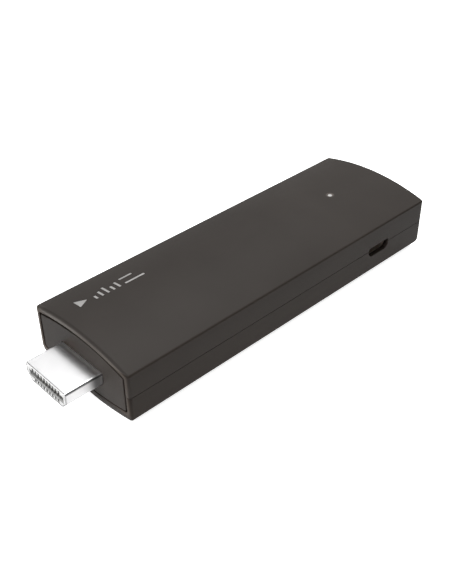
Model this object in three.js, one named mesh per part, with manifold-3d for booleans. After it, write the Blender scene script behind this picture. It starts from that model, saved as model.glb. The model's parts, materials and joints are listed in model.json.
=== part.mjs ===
// Streaming media player stick: a flat charcoal casing with an HDMI plug at one end and a
// micro-USB power port in one long side. Units are millimetres. +Z is up, the plug points along
// -Y, and the origin is under the middle of the whole object, at the level of its underside.
import * as THREE from "three";
import { mergeVertices } from "three/addons/utils/BufferGeometryUtils.js";
import Module from "manifold-3d";

const wasm = await Module();
wasm.setup();

// ---------------------------------------------------------------- driving dimensions

// casing, outside
const BODY_WIDTH = 31.2;
const BODY_HEIGHT = 16;
const BODY_LENGTH = 93.05;
const PLUG_REACH = 8.85; // plug tip to the casing's front rim
const TOP_RADIUS = 58; // crown of the top
const BELLY_RADIUS = 64; // crown of the underside
const LAND_HALF = 4; // half width of the flat strip the stick lies on
const TOP_ROUND = 0.55; // long edges, top
const BELLY_ROUND = 1.2; // long edges, underside
const END_ROUND = 0.5; // edges of both ends
const CROWN_STEPS = 10;
const BELLY_STEPS = 4; // on each side of the flat strip
const CHIN_HEIGHT = 2.2; // leaning strip under the front plate
const CHIN_SETBACK = 0.5;

// casing, inside
const WALL = 1.5;
const SEAM = 0.14; // open line between the two covers
const PARTING_Z = 8.1;
const RIM_SIDE = 1.2; // width of the front rim beside the plate
const RIM_TOP = 1.32;
const GROOVE = 0.5; // open channel beside and over the plate's raised face
const GROOVE_DEPTH = 0.5;
const PLATE_RECESS = 0.05;
const PLATE_THICKNESS = 1.9;
const PLATE_FIT = 0.15; // gap round the plate's foot, behind the channel
const PLATE_TOP_ROUND = 0.4;
const PLATE_FOOT_ROUND = 0.6;
const LIP_THICKNESS = 0.65;
const LIP_HEIGHT = 0.9;
const LIP_ROOT = 1.5; // below the parting plane
const LIP_BREAK = 1; // beyond each end of the port, where the lip stops
const LIP_GAP = 0.06;
const SEAT_GAP = 0.05; // between pieces that rest on each other
const FREE_GAP = 0.3; // between pieces that only pass each other

// snap hooks on the top cover, which reach past the board into notches of the bottom cover
const HOOK_PLACES = [-26, 0, 22];
const HOOK_HALF = 2;
const HOOK_INSET = 0.9; // from the wall's inner face
const HOOK_THICKNESS = 0.65;
const HOOK_FOOT_Z = 5;
const HOOK_ROOT_Z = 10.4;
const HOOK_ROOT_HEIGHT = 1;
const BARB_HEIGHT = 0.8;
const BARB_REACH = 0.6;
const NOTCH_GAP = 0.2;

// ribs that the board rests on, [x, y] of each foot
const REST_PLACES = [
  [-11.4, -33],
  [11.4, -8],
  [-11.4, -8],
  [11.4, 24],
  [-11.4, 24],
];
const REST_SIZE = [1.2, 5];
const REST_ROOT_Z = 1.45; // inside the floor's thickness

// rating label in its recess under the stick
const LABEL_SIZE = [7, 34];
const LABEL_Y = 2;
const LABEL_MARGIN = 0.1;
const LABEL_DEPTH = 0.2;
const LABEL_THICKNESS = 0.12;
const LABEL_GLUE = 0.01;

// HDMI plug, type A
const PLUG_WIDTH = 13.9;
const PLUG_HEIGHT = 4.45;
const PLUG_TOP_Z = 9.3;
const PLUG_SHEET = 0.3;
const PLUG_ROUND = 0.5;
const PLUG_ROUND_LEAST = 0.1; // once the outline is drawn in
const PLUG_BEVEL_DROP = 2.65; // height of the upright part of its sides
const PLUG_FOOT_HALF = 5.25;
const PLUG_SLOT_GAP = 0.12; // between the plug and the plate it passes through
const PLUG_NARROWING = 0.06; // the sheet is a little smaller where it passes the plate
const PLUG_NECK_OVERLAP = 1; // of the narrower rear part, into the front
const PLUG_TAIL = 1.8; // of the shell behind the plate
const FLANGE_SHEET = 0.4;
const FLANGE_GAP = 0.1;
const FLANGE_HALF = [8.2, 3]; // half its width and half its height
const LATCH_X = 3.2; // the two latch windows under the plug
const LATCH_REACH = 4.2; // from the tip to their middle
const LATCH_SIZE = [1.9, 1.6];
const MOULDING_INSET = 0.05; // from the plug's tip
const MOULDING_GAP = 0.05;
const TONGUE_SLOT_HALF = 5.9;
const TONGUE_SLOT_HEIGHT = 1.6;
const TONGUE_SLOT_DEPTH = 8;
const CONTACT_PITCH = 1;
const CONTACT_WIDTH = 0.42;
const CONTACT_SHEET = 0.14;
// Start, the bump's two ends and level again, from the moulding's front.
const CONTACT_STATIONS = [0.9, 2, 2.6, 4.4];
const CONTACT_BEND = 0.2; // past the board's edge
const CONTACT_TAIL = 1.4;
const CHANNEL_WIDTH = 0.58;
const CHANNEL_DEPTH = 0.85;
const CHANNEL_OVERLAP = 0.1; // into the tongue slot
const UPPER_CONTACTS = 10;
const LOWER_CONTACTS = 9;

// micro-USB port, type B
const PORT_Y = 34.15;
const PORT_Z = 7.58;
const PORT_WIDTH = 7.05;
const PORT_HEIGHT = 2.42;
const PORT_BEVEL = 0.85;
const PORT_ROUND = 0.3;
const PORT_SHEET = 0.25;
const PORT_MOUTH_DEPTH = 1.2; // mouth of the socket behind the casing's side
const PORT_LENGTH = 5.1;
const PORT_TONGUE_HALF = 2.35;
const PORT_TONGUE_RISE = [0.05, 0.6]; // above the port's middle
const PORT_TONGUE_GAP = 0.8; // from its end to the mouth
const PORT_BACK = 1.6; // thickness of the moulding at the socket's rear
const PORT_CONTACTS = 5;
const PORT_CONTACT_PITCH = 0.65;
const PORT_CONTACT_WIDTH = 0.3;
const PORT_CONTACT_SHEET = 0.13;

// board
const BOARD_HALF = 12.6;
const BOARD_THICKNESS = 1;
const BOARD_FRONT_GAP = 0.5; // behind the plug's moulding
const BOARD_REAR_GAP = 1.8; // to the casing's rear wall
const SCREW_PLACES = [
  [9.6, -29.5],
  [-9.6, 37],
];
const SCREW_RADIUS = 0.7;
const SCREW_HEAD_RADIUS = 1.6;
const BOSS_RADIUS = 2.2;
const HOLE_CLEARANCE = 0.2;
const THREAD_CLEARANCE = 0.08;
const BOSS_ROOT_Z = 1.15; // inside the floor's thickness
const SCREW_HOLE_Z = 2;
const SCREW_FOOT_Z = 2.6;
const SCREW_TAPER = 0.6;
const HEAD_HEIGHT = 1;
const HEAD_CHAMFER = 0.3;
const RECESS_SIZE = [1.6, 0.4];
const RECESS_DEPTH = 0.5;
const CHIP_HEIGHT = 1;

// parts soldered on the board: middle [x, y] and size [x, y, z]
const PROCESSOR_PLACE = [-3.2, -16.5];
const PROCESSOR_SIZE = [13, 13, CHIP_HEIGHT];
const MEMORY_X = [-5, 5];
const MEMORY_Y = 0;
const MEMORY_SIZE = [7.5, 12, CHIP_HEIGHT];
const FLASH_PLACE = [0, -8];
const FLASH_SIZE = [11.5, 13, CHIP_HEIGHT];
const POWER_CHIP_PLACE = [7.2, -20];
const POWER_CHIP_SIZE = [4, 4, 0.9];
const WIFI_PLACE = [-5.2, 25.5];
const WIFI_SIZE = [12, 12, 1.8];
const CRYSTAL_PLACE = [5.4, 25];
const CRYSTAL_SIZE = [3.2, 2.5, 0.8];
const ESD_X = [-3, 3];
const ESD_Y = -32.5;
const ESD_SIZE = [2.5, 1, 0.6];
const POWER_ROW_Y = 13.5;
const INDUCTOR_X = [-7.5, -3, 1.5];
const INDUCTOR_SIZE = [3, 3, 1.5];
const CAPACITOR_X = [5.4, 8.2, 11];
const CAPACITOR_SIZE = [1.3, 2, 1.25];

// shield can, pads and heat spreader over the processor and its memory
const SHIELD_X = 10.4;
const SHIELD_Y = [-25.5, 9];
const SHIELD_SHEET = 0.3;
const SHIELD_HEIGHT = 2.2;
const SKIRT_DEPTH = 1.4;
const SKIRT_OVERLAP = 0.1;
const INNER_PAD_SIZE = [12, 12];
const PAD_THICKNESS = 0.8;
const OUTER_PAD_WIDTH = 18;
const OUTER_PAD_MARGIN = 4; // shorter than the shield
const SPREADER_THICKNESS = 0.8;
const SPREADER_WIDTH = 20.5;
const POST_RADIUS = 1;
const POST_PLACES = [
  [-8, -22],
  [8, -22],
  [-8, 5.5],
  [8, 5.5],
];

// status light
const LIGHT_Y = 33.5;
const LIGHT_RADIUS = 0.55;
const LED_SIZE = [1.6, 0.8];
const LED_HEIGHT = 0.6;
const PIPE_GAP = 0.3; // over the light
const PIPE_SLACK = 0.02;
const PIPE_FOOT_RADIUS = 0.9;
const COLLAR_RADIUS = 1.5;
const COLLAR_HEIGHT = 1.2;

// antennas at the board's rear corners
const ANTENNA_HEIGHT = 3.2;
const ANTENNA_SHEET = 0.3;
const ANTENNA_X = [4, 8.9, 11.8]; // arm's end, feed leg and ground leg
const ANTENNA_STATIONS = [0.6, 1.4, 2.4]; // rear, feed's rear and front, from the board's rear edge

// ---------------------------------------------------------------- derived planes

const REAR_Y = (BODY_LENGTH + PLUG_REACH) / 2;
const TIP_Y = -REAR_Y;
const FRONT_Y = TIP_Y + PLUG_REACH;
const PLATE_Y = FRONT_Y + PLATE_RECESS;
const SHOULDER_Y = PLATE_Y + PLATE_THICKNESS + SEAT_GAP;
const BODY_HALF = BODY_WIDTH / 2;
const TOP_CENTRE_Z = BODY_HEIGHT - TOP_RADIUS;
const BELLY_CENTRE_Z = Math.sqrt(BELLY_RADIUS ** 2 - LAND_HALF ** 2);
const PLUG_MID_Z = PLUG_TOP_Z - PLUG_HEIGHT / 2;
const PLUG_REAR_Y = SHOULDER_Y + PLUG_TAIL;
const MOULDING_REAR_Y = PLUG_REAR_Y - 2 * MOULDING_GAP;
const BOARD_FRONT_Y = MOULDING_REAR_Y + BOARD_FRONT_GAP;
const BOARD_REAR_Y = REAR_Y - WALL - BOARD_REAR_GAP;
const BOARD_TOP_Z = PLUG_MID_Z + BOARD_THICKNESS / 2;
const BOARD_UNDER_Z = BOARD_TOP_Z - BOARD_THICKNESS;
const PORT_MOUTH_X = BODY_HALF - PORT_MOUTH_DEPTH;
const PORT_REAR_X = PORT_MOUTH_X - PORT_LENGTH;
const HOOK_X = BODY_HALF - WALL - HOOK_INSET;
const SHIELD_TOP_Z = BOARD_TOP_Z + SHIELD_HEIGHT;
const SPREADER_Z = SHIELD_TOP_Z + PAD_THICKNESS + 2 * SEAT_GAP;
const SPREADER_TOP_Z = SPREADER_Z + SPREADER_THICKNESS;
const BEYOND = 5; // how far a cutting solid runs past what it cuts
const ROUND_SIDES = 16; // flats round a turned part
const SMALL_SIDES = 12; // and round a small hidden one

// ---------------------------------------------------------------- materials

const charcoal = { color: 0x4a4642, roughness: 0.55, metalness: 0 };
const plating = { color: 0xd9dadc, roughness: 0.2, metalness: 1 };
const gold = { color: 0xc9a24a, roughness: 0.3, metalness: 1 };
const paleResin = { color: 0xe4e2de, roughness: 0.5, metalness: 0 };
const darkResin = { color: 0x1a1a1b, roughness: 0.5, metalness: 0 };
const laminate = { color: 0x14402c, roughness: 0.45, metalness: 0 };
const tinned = { color: 0xb4b6b8, roughness: 0.35, metalness: 1 };
const aluminium = { color: 0xa9acb0, roughness: 0.45, metalness: 1 };
const ferrite = { color: 0x3a3a3c, roughness: 0.7, metalness: 0 };
const silicone = { color: 0x8d97a3, roughness: 0.9, metalness: 0 };
const clearResin = { color: 0xeef3f6, roughness: 0.2, metalness: 0 };
const milkyResin = { color: 0xeeece2, roughness: 0.3, metalness: 0 };
const ceramicBrown = { color: 0x8a6f52, roughness: 0.6, metalness: 0 };
const labelFilm = { color: 0x2b2a29, roughness: 0.5, metalness: 0 };

// ---------------------------------------------------------------- geometry helpers

const player = new THREE.Group();
player.name = "streaming_media_player";

function solid(geometry) {
  const bare = geometry.clone();
  bare.deleteAttribute("normal");
  bare.deleteAttribute("uv");
  const merged = mergeVertices(bare);
  const vertProperties = merged.attributes.position.array;
  const triVerts = new Uint32Array(merged.index.array);
  return new wasm.Manifold(new wasm.Mesh({ numProp: 3, vertProperties, triVerts }));
}

function add(name, shape, look) {
  const mesh = shape.getMesh();
  const geometry = new THREE.BufferGeometry();
  geometry.setAttribute("position", new THREE.BufferAttribute(mesh.vertProperties, 3));
  geometry.setIndex(new THREE.BufferAttribute(mesh.triVerts, 1));
  geometry.computeVertexNormals();
  const material = new THREE.MeshStandardMaterial({ ...look, flatShading: true });
  const piece = new THREE.Mesh(geometry, material);
  piece.name = name;
  player.add(piece);
}

const join = (first, ...rest) => rest.reduce((whole, next) => whole.add(next), first);
const cut = (first, ...rest) => rest.reduce((whole, next) => whole.subtract(next), first);

function block([x0, x1], [y0, y1], [z0, z1]) {
  const box = new THREE.BoxGeometry(x1 - x0, y1 - y0, z1 - z0);
  box.translate((x0 + x1) / 2, (y0 + y1) / 2, (z0 + z1) / 2);
  return solid(box);
}

// A box given by the middle of its foot and its three sizes.
function standing([x, y, z], [width, length, height]) {
  return block([x - width / 2, x + width / 2], [y - length / 2, y + length / 2], [z, z + height]);
}

// A closed outline through corners [across, up, radius], each corner rounded to its radius.
function outline(corners, steps = 5) {
  const points = [];
  corners.forEach(([x, y, radius = 0], i) => {
    const corner = new THREE.Vector2(x, y);
    if (!radius) {
      points.push(corner);
      return;
    }
    const [beforeX, beforeY] = corners[(i + corners.length - 1) % corners.length];
    const [afterX, afterY] = corners[(i + 1) % corners.length];
    const back = new THREE.Vector2(beforeX, beforeY).sub(corner).normalize();
    const ahead = new THREE.Vector2(afterX, afterY).sub(corner).normalize();
    const half = Math.acos(back.dot(ahead)) / 2;
    const inward = back.clone().add(ahead).normalize();
    const centre = corner.clone().addScaledVector(inward, radius / Math.sin(half));
    const start = corner.clone().addScaledVector(back, radius / Math.tan(half)).sub(centre);
    const turn = Math.sign(back.cross(ahead)) * (2 * half - Math.PI);
    for (let k = 0; k <= steps; k++) {
      const spoke = start.clone().rotateAround(new THREE.Vector2(), (turn * k) / steps);
      points.push(spoke.add(centre));
    }
  });
  return new THREE.Shape(points);
}

// An outline drawn across X and up Z, drawn out along Y.
function prismAlongY(shape, y0, y1, endRound = 0) {
  const geometry = new THREE.ExtrudeGeometry(shape, {
    depth: y1 - y0 - 2 * endRound,
    bevelEnabled: endRound > 0,
    bevelThickness: endRound,
    bevelSize: endRound,
    bevelOffset: -endRound,
    bevelSegments: 3,
  });
  geometry.rotateX(Math.PI / 2);
  geometry.translate(0, y1 - endRound, 0);
  return solid(geometry);
}

// An outline drawn across Y and up Z, drawn out along X.
function prismAlongX(shape, x0, x1) {
  const geometry = new THREE.ExtrudeGeometry(shape, { depth: x1 - x0, bevelEnabled: false });
  geometry.rotateX(Math.PI / 2);
  geometry.rotateZ(Math.PI / 2);
  geometry.translate(x0, 0, 0);
  return solid(geometry);
}

// An outline drawn on X and Y, drawn out along Z.
function prismAlongZ(shape, z0, z1) {
  const geometry = new THREE.ExtrudeGeometry(shape, { depth: z1 - z0, bevelEnabled: false });
  geometry.translate(0, 0, z0);
  return solid(geometry);
}

// A round solid on an upright axis at [x, y], from a profile of [radius, z] that meets the axis.
function turned([x, y], profile, sides = 20) {
  const points = profile.map(([radius, z]) => new THREE.Vector2(radius, z));
  const geometry = new THREE.LatheGeometry(points, sides);
  geometry.rotateX(Math.PI / 2);
  geometry.translate(x, y, 0);
  return solid(geometry);
}

function pillar([x, y], radius, z0, z1, sides) {
  return turned([x, y], [[0, z0], [radius, z0], [radius, z1], [0, z1]], sides);
}

// ---------------------------------------------------------------- casing

const bellyZ = (x, inset) => BELLY_CENTRE_Z - Math.sqrt((BELLY_RADIUS - inset) ** 2 - x ** 2);
const crownZ = (x, inset) => TOP_CENTRE_Z + Math.sqrt((TOP_RADIUS - inset) ** 2 - x ** 2);

// The casing's cross section, drawn in by side, top and bottom.
function casingSection({ side, top, bottom, topRound = 0, bellyRound = 0 }) {
  const half = BODY_HALF - side;
  const corners = [];
  for (let i = 0; i <= CROWN_STEPS; i++) {
    const x = half * (1 - (2 * i) / CROWN_STEPS);
    const atEnd = i === 0 || i === CROWN_STEPS;
    corners.push([x, crownZ(x, top), atEnd ? topRound : 0]);
  }
  const belly = [];
  for (let i = 0; i <= BELLY_STEPS; i++) {
    const x = half + ((LAND_HALF - half) * i) / BELLY_STEPS;
    const z = i === BELLY_STEPS ? bottom : bellyZ(x, bottom);
    belly.push([x, z, i === 0 ? bellyRound : 0]);
  }
  corners.push(...belly.map(([x, z, round]) => [-x, z, round]), ...belly.reverse());
  return outline(corners);
}

const plateSection = (margin, footMargin = margin) =>
  casingSection({
    side: RIM_SIDE + margin,
    top: RIM_TOP + margin,
    bottom: CHIN_HEIGHT + footMargin,
    topRound: PLATE_TOP_ROUND,
    bellyRound: PLATE_FOOT_ROUND,
  });

const chinZ = (x) => bellyZ(x, 0) + CHIN_HEIGHT;

// What the leaning chin takes away: a solid in front of the casing whose rear face starts at the
// chin's curved upper line and leans back below it.
function chinCutter() {
  const half = BODY_HALF + BEYOND;
  const points = [];
  for (let i = 0; i <= CROWN_STEPS; i++) {
    const x = half * ((2 * i) / CROWN_STEPS - 1);
    points.push(new THREE.Vector2(x, chinZ(x)));
  }
  points.push(new THREE.Vector2(half, -BEYOND), new THREE.Vector2(-half, -BEYOND));
  const shape = new THREE.Shape(points);
  const geometry = new THREE.ExtrudeGeometry(shape, { depth: BEYOND, bevelEnabled: false });
  geometry.rotateX(Math.PI / 2);
  geometry.translate(0, FRONT_Y, 0);
  const place = geometry.attributes.position;
  for (let i = 0; i < place.count; i++) {
    if (place.getY(i) < FRONT_Y - BEYOND / 2) continue;
    const drop = chinZ(place.getX(i)) - place.getZ(i);
    place.setY(i, FRONT_Y + (CHIN_SETBACK * drop) / CHIN_HEIGHT);
  }
  return solid(geometry);
}

const casingPlan = (inset) =>
  outline([
    [BODY_HALF - inset, FRONT_Y + inset],
    [BODY_HALF - inset, REAR_Y - inset],
    [inset - BODY_HALF, REAR_Y - inset],
    [inset - BODY_HALF, FRONT_Y + inset],
  ]);

const portSection = (margin) => {
  const half = PORT_WIDTH / 2 + margin;
  const top = PORT_Z + PORT_HEIGHT / 2 + margin;
  const foot = PORT_Z - PORT_HEIGHT / 2 - margin;
  return outline(
    [
      [PORT_Y + half, top, PORT_ROUND],
      [PORT_Y - half, top, PORT_ROUND],
      [PORT_Y - half, foot + PORT_BEVEL, PORT_ROUND],
      [PORT_Y - half + PORT_BEVEL, foot, PORT_ROUND],
      [PORT_Y + half - PORT_BEVEL, foot, PORT_ROUND],
      [PORT_Y + half, foot + PORT_BEVEL, PORT_ROUND],
    ],
    3,
  );
};

// Room for the socket behind the casing's side wall.
const socketRoom = (size) => size / 2 + PORT_SHEET + FREE_GAP;
const socketSpan = [PORT_Y - socketRoom(PORT_WIDTH), PORT_Y + socketRoom(PORT_WIDTH)];
const socketHeight = [PORT_Z - socketRoom(PORT_HEIGHT), PORT_Z + socketRoom(PORT_HEIGHT)];

const wholeCasing = cut(
  prismAlongY(
    casingSection({ side: 0, top: 0, bottom: 0, topRound: TOP_ROUND, bellyRound: BELLY_ROUND }),
    FRONT_Y,
    REAR_Y,
    END_ROUND,
  ),
  chinCutter(),
  prismAlongY(casingSection({ side: WALL, top: WALL, bottom: WALL }), SHOULDER_Y, REAR_Y - WALL),
  prismAlongY(plateSection(0), FRONT_Y - BEYOND, SHOULDER_Y),
  prismAlongX(portSection(0), PORT_MOUTH_X - BEYOND, BODY_HALF + BEYOND),
  block([PORT_MOUTH_X - BEYOND, PORT_MOUTH_X + SEAT_GAP], socketSpan, socketHeight),
);

const everywhere = [-BODY_HALF - BEYOND, BODY_HALF + BEYOND];
const fullLength = [TIP_Y - BEYOND, REAR_Y + BEYOND];
const upperSpace = block(everywhere, fullLength, [PARTING_Z + SEAM / 2, BODY_HEIGHT + BEYOND]);
const lowerSpace = block(everywhere, fullLength, [-BEYOND, PARTING_Z - SEAM / 2]);

function hook(side, y) {
  const across = (x0, x1) => (side > 0 ? [x0, x1] : [-x1, -x0]);
  const along = [y - HOOK_HALF, y + HOOK_HALF];
  const arm = across(HOOK_X, HOOK_X + HOOK_THICKNESS);
  const barb = across(HOOK_X, HOOK_X + HOOK_THICKNESS + BARB_REACH);
  const root = across(HOOK_X, BODY_HALF - WALL / 2);
  return join(
    block(arm, along, [HOOK_FOOT_Z, HOOK_ROOT_Z + HOOK_ROOT_HEIGHT]),
    block(barb, along, [HOOK_FOOT_Z, HOOK_FOOT_Z + BARB_HEIGHT]),
    block(root, along, [HOOK_ROOT_Z, HOOK_ROOT_Z + HOOK_ROOT_HEIGHT]),
  );
}

function hookNotch(side, y) {
  const reach = HOOK_X + HOOK_THICKNESS + BARB_REACH + NOTCH_GAP;
  const across = side > 0 ? [HOOK_X, reach] : [-reach, -HOOK_X];
  return block(
    across,
    [y - HOOK_HALF - FREE_GAP, y + HOOK_HALF + FREE_GAP],
    [HOOK_FOOT_Z - FREE_GAP, HOOK_FOOT_Z + BARB_HEIGHT + 2 * SEAT_GAP],
  );
}

const bothSides = (make) => HOOK_PLACES.flatMap((y) => [make(1, y), make(-1, y)]);

const lipOuter = WALL - LIP_THICKNESS;
const lipTop = PARTING_Z + LIP_HEIGHT;
const lipRebate = prismAlongZ(casingPlan(lipOuter - LIP_GAP), PARTING_Z - LIP_ROOT, lipTop + LIP_GAP);
const behindPlate = block(everywhere, [SHOULDER_Y + WALL, REAR_Y], [0, BODY_HEIGHT]);

// The posts press the heat spreader down on its pad.
const topCover = cut(
  join(
    wholeCasing.intersect(upperSpace).subtract(lipRebate.intersect(behindPlate)),
    ...bothSides(hook),
    ...POST_PLACES.map(([x, y]) =>
      pillar([x, y], POST_RADIUS, SPREADER_TOP_Z + SEAT_GAP, crownZ(x, WALL / 2), SMALL_SIDES),
    ),
  ),
  pillar([0, LIGHT_Y], LIGHT_RADIUS + PIPE_SLACK, BOARD_TOP_Z, BODY_HEIGHT + BEYOND, ROUND_SIDES),
);
add("top_cover", topCover, charcoal);

const lip = cut(
  prismAlongZ(casingPlan(lipOuter), PARTING_Z - LIP_ROOT, lipTop),
  prismAlongZ(casingPlan(WALL), PARTING_Z - 2 * LIP_ROOT, lipTop + BEYOND),
  block(
    [PORT_MOUTH_X - BEYOND, BODY_HALF],
    [PORT_Y - PORT_WIDTH / 2 - LIP_BREAK, PORT_Y + PORT_WIDTH / 2 + LIP_BREAK],
    [0, BODY_HEIGHT],
  ),
).intersect(block(everywhere, [SHOULDER_Y + WALL + LIP_GAP, REAR_Y], [0, BODY_HEIGHT]));

const restTop = BOARD_UNDER_Z - SEAT_GAP;
const labelRecess = LABEL_SIZE.map((size) => size + 2 * LABEL_MARGIN);
const bottomCover = cut(
  join(
    cut(wholeCasing.intersect(lowerSpace), ...bothSides(hookNotch)),
    lip,
    ...REST_PLACES.map(([x, y]) => standing([x, y, REST_ROOT_Z], [...REST_SIZE, restTop - REST_ROOT_Z])),
    ...SCREW_PLACES.map((place) => pillar(place, BOSS_RADIUS, BOSS_ROOT_Z, restTop)),
  ),
  ...SCREW_PLACES.map((place) =>
    pillar(place, SCREW_RADIUS + THREAD_CLEARANCE, SCREW_HOLE_Z, BODY_HEIGHT, SMALL_SIDES),
  ),
  standing([0, LABEL_Y, LABEL_DEPTH - BEYOND], [...labelRecess, BEYOND]),
);
add("bottom_cover", bottomCover, charcoal);

const label = standing(
  [0, LABEL_Y, LABEL_DEPTH - LABEL_THICKNESS],
  [...LABEL_SIZE, LABEL_THICKNESS - LABEL_GLUE],
);
add("rating_label", label, labelFilm);

// The plug's section, drawn in by inset, at the plug's place in the front plate.
function plugSection(inset) {
  const half = PLUG_WIDTH / 2 - inset;
  const top = PLUG_TOP_Z - inset;
  const foot = PLUG_TOP_Z - PLUG_HEIGHT + inset;
  const round = Math.max(PLUG_ROUND - inset, PLUG_ROUND_LEAST);
  return outline(
    [
      [half, top, round],
      [-half, top, round],
      [-half, PLUG_TOP_Z - PLUG_BEVEL_DROP, PLUG_ROUND],
      [-PLUG_FOOT_HALF, foot, PLUG_ROUND],
      [PLUG_FOOT_HALF, foot, PLUG_ROUND],
      [half, PLUG_TOP_Z - PLUG_BEVEL_DROP, PLUG_ROUND],
    ],
    4,
  );
}

// The plate's face stands forward, with a shallow channel between it and the rim.
const channelFloorY = FRONT_Y + GROOVE_DEPTH;
const frontPlate = cut(
  join(
    prismAlongY(plateSection(GROOVE, PLATE_FIT), PLATE_Y, SHOULDER_Y - SEAT_GAP),
    prismAlongY(plateSection(PLATE_FIT), channelFloorY, SHOULDER_Y - SEAT_GAP),
  ),
  prismAlongY(plugSection(-PLUG_SLOT_GAP), PLATE_Y - BEYOND, SHOULDER_Y + BEYOND),
);
add("front_plate", frontPlate, charcoal);

// Light pipe: a clear rod with a collar that sits under the cover's hole.
const crownInside = BODY_HEIGHT - WALL;
const pipeFoot = BOARD_TOP_Z + LED_HEIGHT + PIPE_GAP;
const collarFoot = crownInside - COLLAR_HEIGHT;
const collarTop = crownInside - SEAT_GAP;
const pipeTop = BODY_HEIGHT - PIPE_SLACK;
const lightPipe = turned(
  [0, LIGHT_Y],
  [
    [0, pipeFoot],
    [PIPE_FOOT_RADIUS, pipeFoot],
    [PIPE_FOOT_RADIUS, collarFoot],
    [COLLAR_RADIUS, collarFoot],
    [COLLAR_RADIUS, collarTop],
    [LIGHT_RADIUS - PIPE_SLACK, collarTop],
    [LIGHT_RADIUS - PIPE_SLACK, pipeTop],
    [0, pipeTop],
  ],
  ROUND_SIDES,
);
add("light_pipe", lightPipe, clearResin);

// ---------------------------------------------------------------- HDMI plug

const exposedRear = PLATE_Y - 2 * SEAT_GAP;
const flangeFront = SHOULDER_Y + FLANGE_GAP;
const [flangeHalfWidth, flangeHalfHeight] = FLANGE_HALF;
const plugFootZ = PLUG_TOP_Z - PLUG_HEIGHT;
const latchWindow = (side) =>
  standing(
    [side * LATCH_X, TIP_Y + LATCH_REACH, plugFootZ - PLUG_SHEET],
    [...LATCH_SIZE, 3 * PLUG_SHEET],
  );
const hdmiShell = cut(
  join(
    prismAlongY(plugSection(0), TIP_Y, exposedRear),
    prismAlongY(plugSection(PLUG_NARROWING), exposedRear - PLUG_NECK_OVERLAP, PLUG_REAR_Y),
    block(
      [-flangeHalfWidth, flangeHalfWidth],
      [flangeFront, flangeFront + FLANGE_SHEET],
      [PLUG_MID_Z - flangeHalfHeight, PLUG_MID_Z + flangeHalfHeight],
    ),
  ),
  prismAlongY(plugSection(PLUG_SHEET), TIP_Y - BEYOND, PLUG_REAR_Y + BEYOND),
  latchWindow(-1),
  latchWindow(1),
);
add("hdmi_shell", hdmiShell, plating);

const slotHalf = TONGUE_SLOT_HEIGHT / 2;
const mouldingFront = TIP_Y + MOULDING_INSET;

// Centres of one row of contacts across the plug.
const contactPlaces = (count, pitch) =>
  Array.from({ length: count }, (_, i) => (i - (count - 1) / 2) * pitch);

function channel(x, side) {
  const near = PLUG_MID_Z + side * (slotHalf - CHANNEL_OVERLAP);
  const far = PLUG_MID_Z + side * (slotHalf + CHANNEL_DEPTH);
  return block(
    [x - CHANNEL_WIDTH / 2, x + CHANNEL_WIDTH / 2],
    [mouldingFront - BEYOND, MOULDING_REAR_Y + BEYOND],
    [Math.min(near, far), Math.max(near, far)],
  );
}

const upperPlaces = contactPlaces(UPPER_CONTACTS, CONTACT_PITCH);
const lowerPlaces = contactPlaces(LOWER_CONTACTS, CONTACT_PITCH);
const hdmiMoulding = cut(
  prismAlongY(plugSection(PLUG_SHEET + MOULDING_GAP), mouldingFront, MOULDING_REAR_Y),
  block(
    [-TONGUE_SLOT_HALF, TONGUE_SLOT_HALF],
    [mouldingFront - BEYOND, mouldingFront + TONGUE_SLOT_DEPTH],
    [PLUG_MID_Z - slotHalf, PLUG_MID_Z + slotHalf],
  ),
  ...upperPlaces.map((x) => channel(x, 1)),
  ...lowerPlaces.map((x) => channel(x, -1)),
);
add("hdmi_moulding", hdmiMoulding, paleResin);

// A contact is one strip: sprung bump in the slot, straight run through the moulding, tail on
// the board. side is 1 in the upper row and -1 in the lower row.
function hdmiContact(x, side) {
  const run = slotHalf + CHANNEL_DEPTH / 2;
  const bump = slotHalf - CHANNEL_OVERLAP;
  const tail = BOARD_THICKNESS / 2 + SEAT_GAP + CONTACT_SHEET / 2;
  const [start, bumpStart, bumpEnd, settled] = CONTACT_STATIONS.map((y) => mouldingFront + y);
  const path = [
    [start, run],
    [bumpStart, bump],
    [bumpEnd, bump],
    [settled, run],
    [MOULDING_REAR_Y + 2 * MOULDING_GAP, run],
    [BOARD_FRONT_Y + CONTACT_BEND, tail],
    [BOARD_FRONT_Y + CONTACT_BEND + CONTACT_TAIL, tail],
  ];
  const edge = (offset) => path.map(([y, up]) => [y, PLUG_MID_Z + side * up + offset]);
  const strip = outline([...edge(-CONTACT_SHEET / 2), ...edge(CONTACT_SHEET / 2).reverse()]);
  return prismAlongX(strip, x - CONTACT_WIDTH / 2, x + CONTACT_WIDTH / 2);
}
upperPlaces.forEach((x, i) => add(`hdmi_contact_upper_${i + 1}`, hdmiContact(x, 1), gold));
lowerPlaces.forEach((x, i) => add(`hdmi_contact_lower_${i + 1}`, hdmiContact(x, -1), gold));

// ---------------------------------------------------------------- micro-USB socket

const socketShell = cut(
  prismAlongX(portSection(PORT_SHEET), PORT_REAR_X, PORT_MOUTH_X),
  prismAlongX(portSection(0), PORT_REAR_X - BEYOND, PORT_MOUTH_X + BEYOND),
);
add("micro_usb_shell", socketShell, tinned);

const [tongueUnder, tongueTop] = PORT_TONGUE_RISE.map((rise) => PORT_Z + rise);
const socketBackX = PORT_REAR_X + PORT_BACK;
const socketMoulding = join(
  prismAlongX(portSection(-SEAT_GAP), PORT_REAR_X, socketBackX),
  block(
    [socketBackX - PORT_BACK / 2, PORT_MOUTH_X - PORT_TONGUE_GAP],
    [PORT_Y - PORT_TONGUE_HALF, PORT_Y + PORT_TONGUE_HALF],
    [tongueUnder, tongueTop],
  ),
);
add("micro_usb_moulding", socketMoulding, darkResin);

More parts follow.
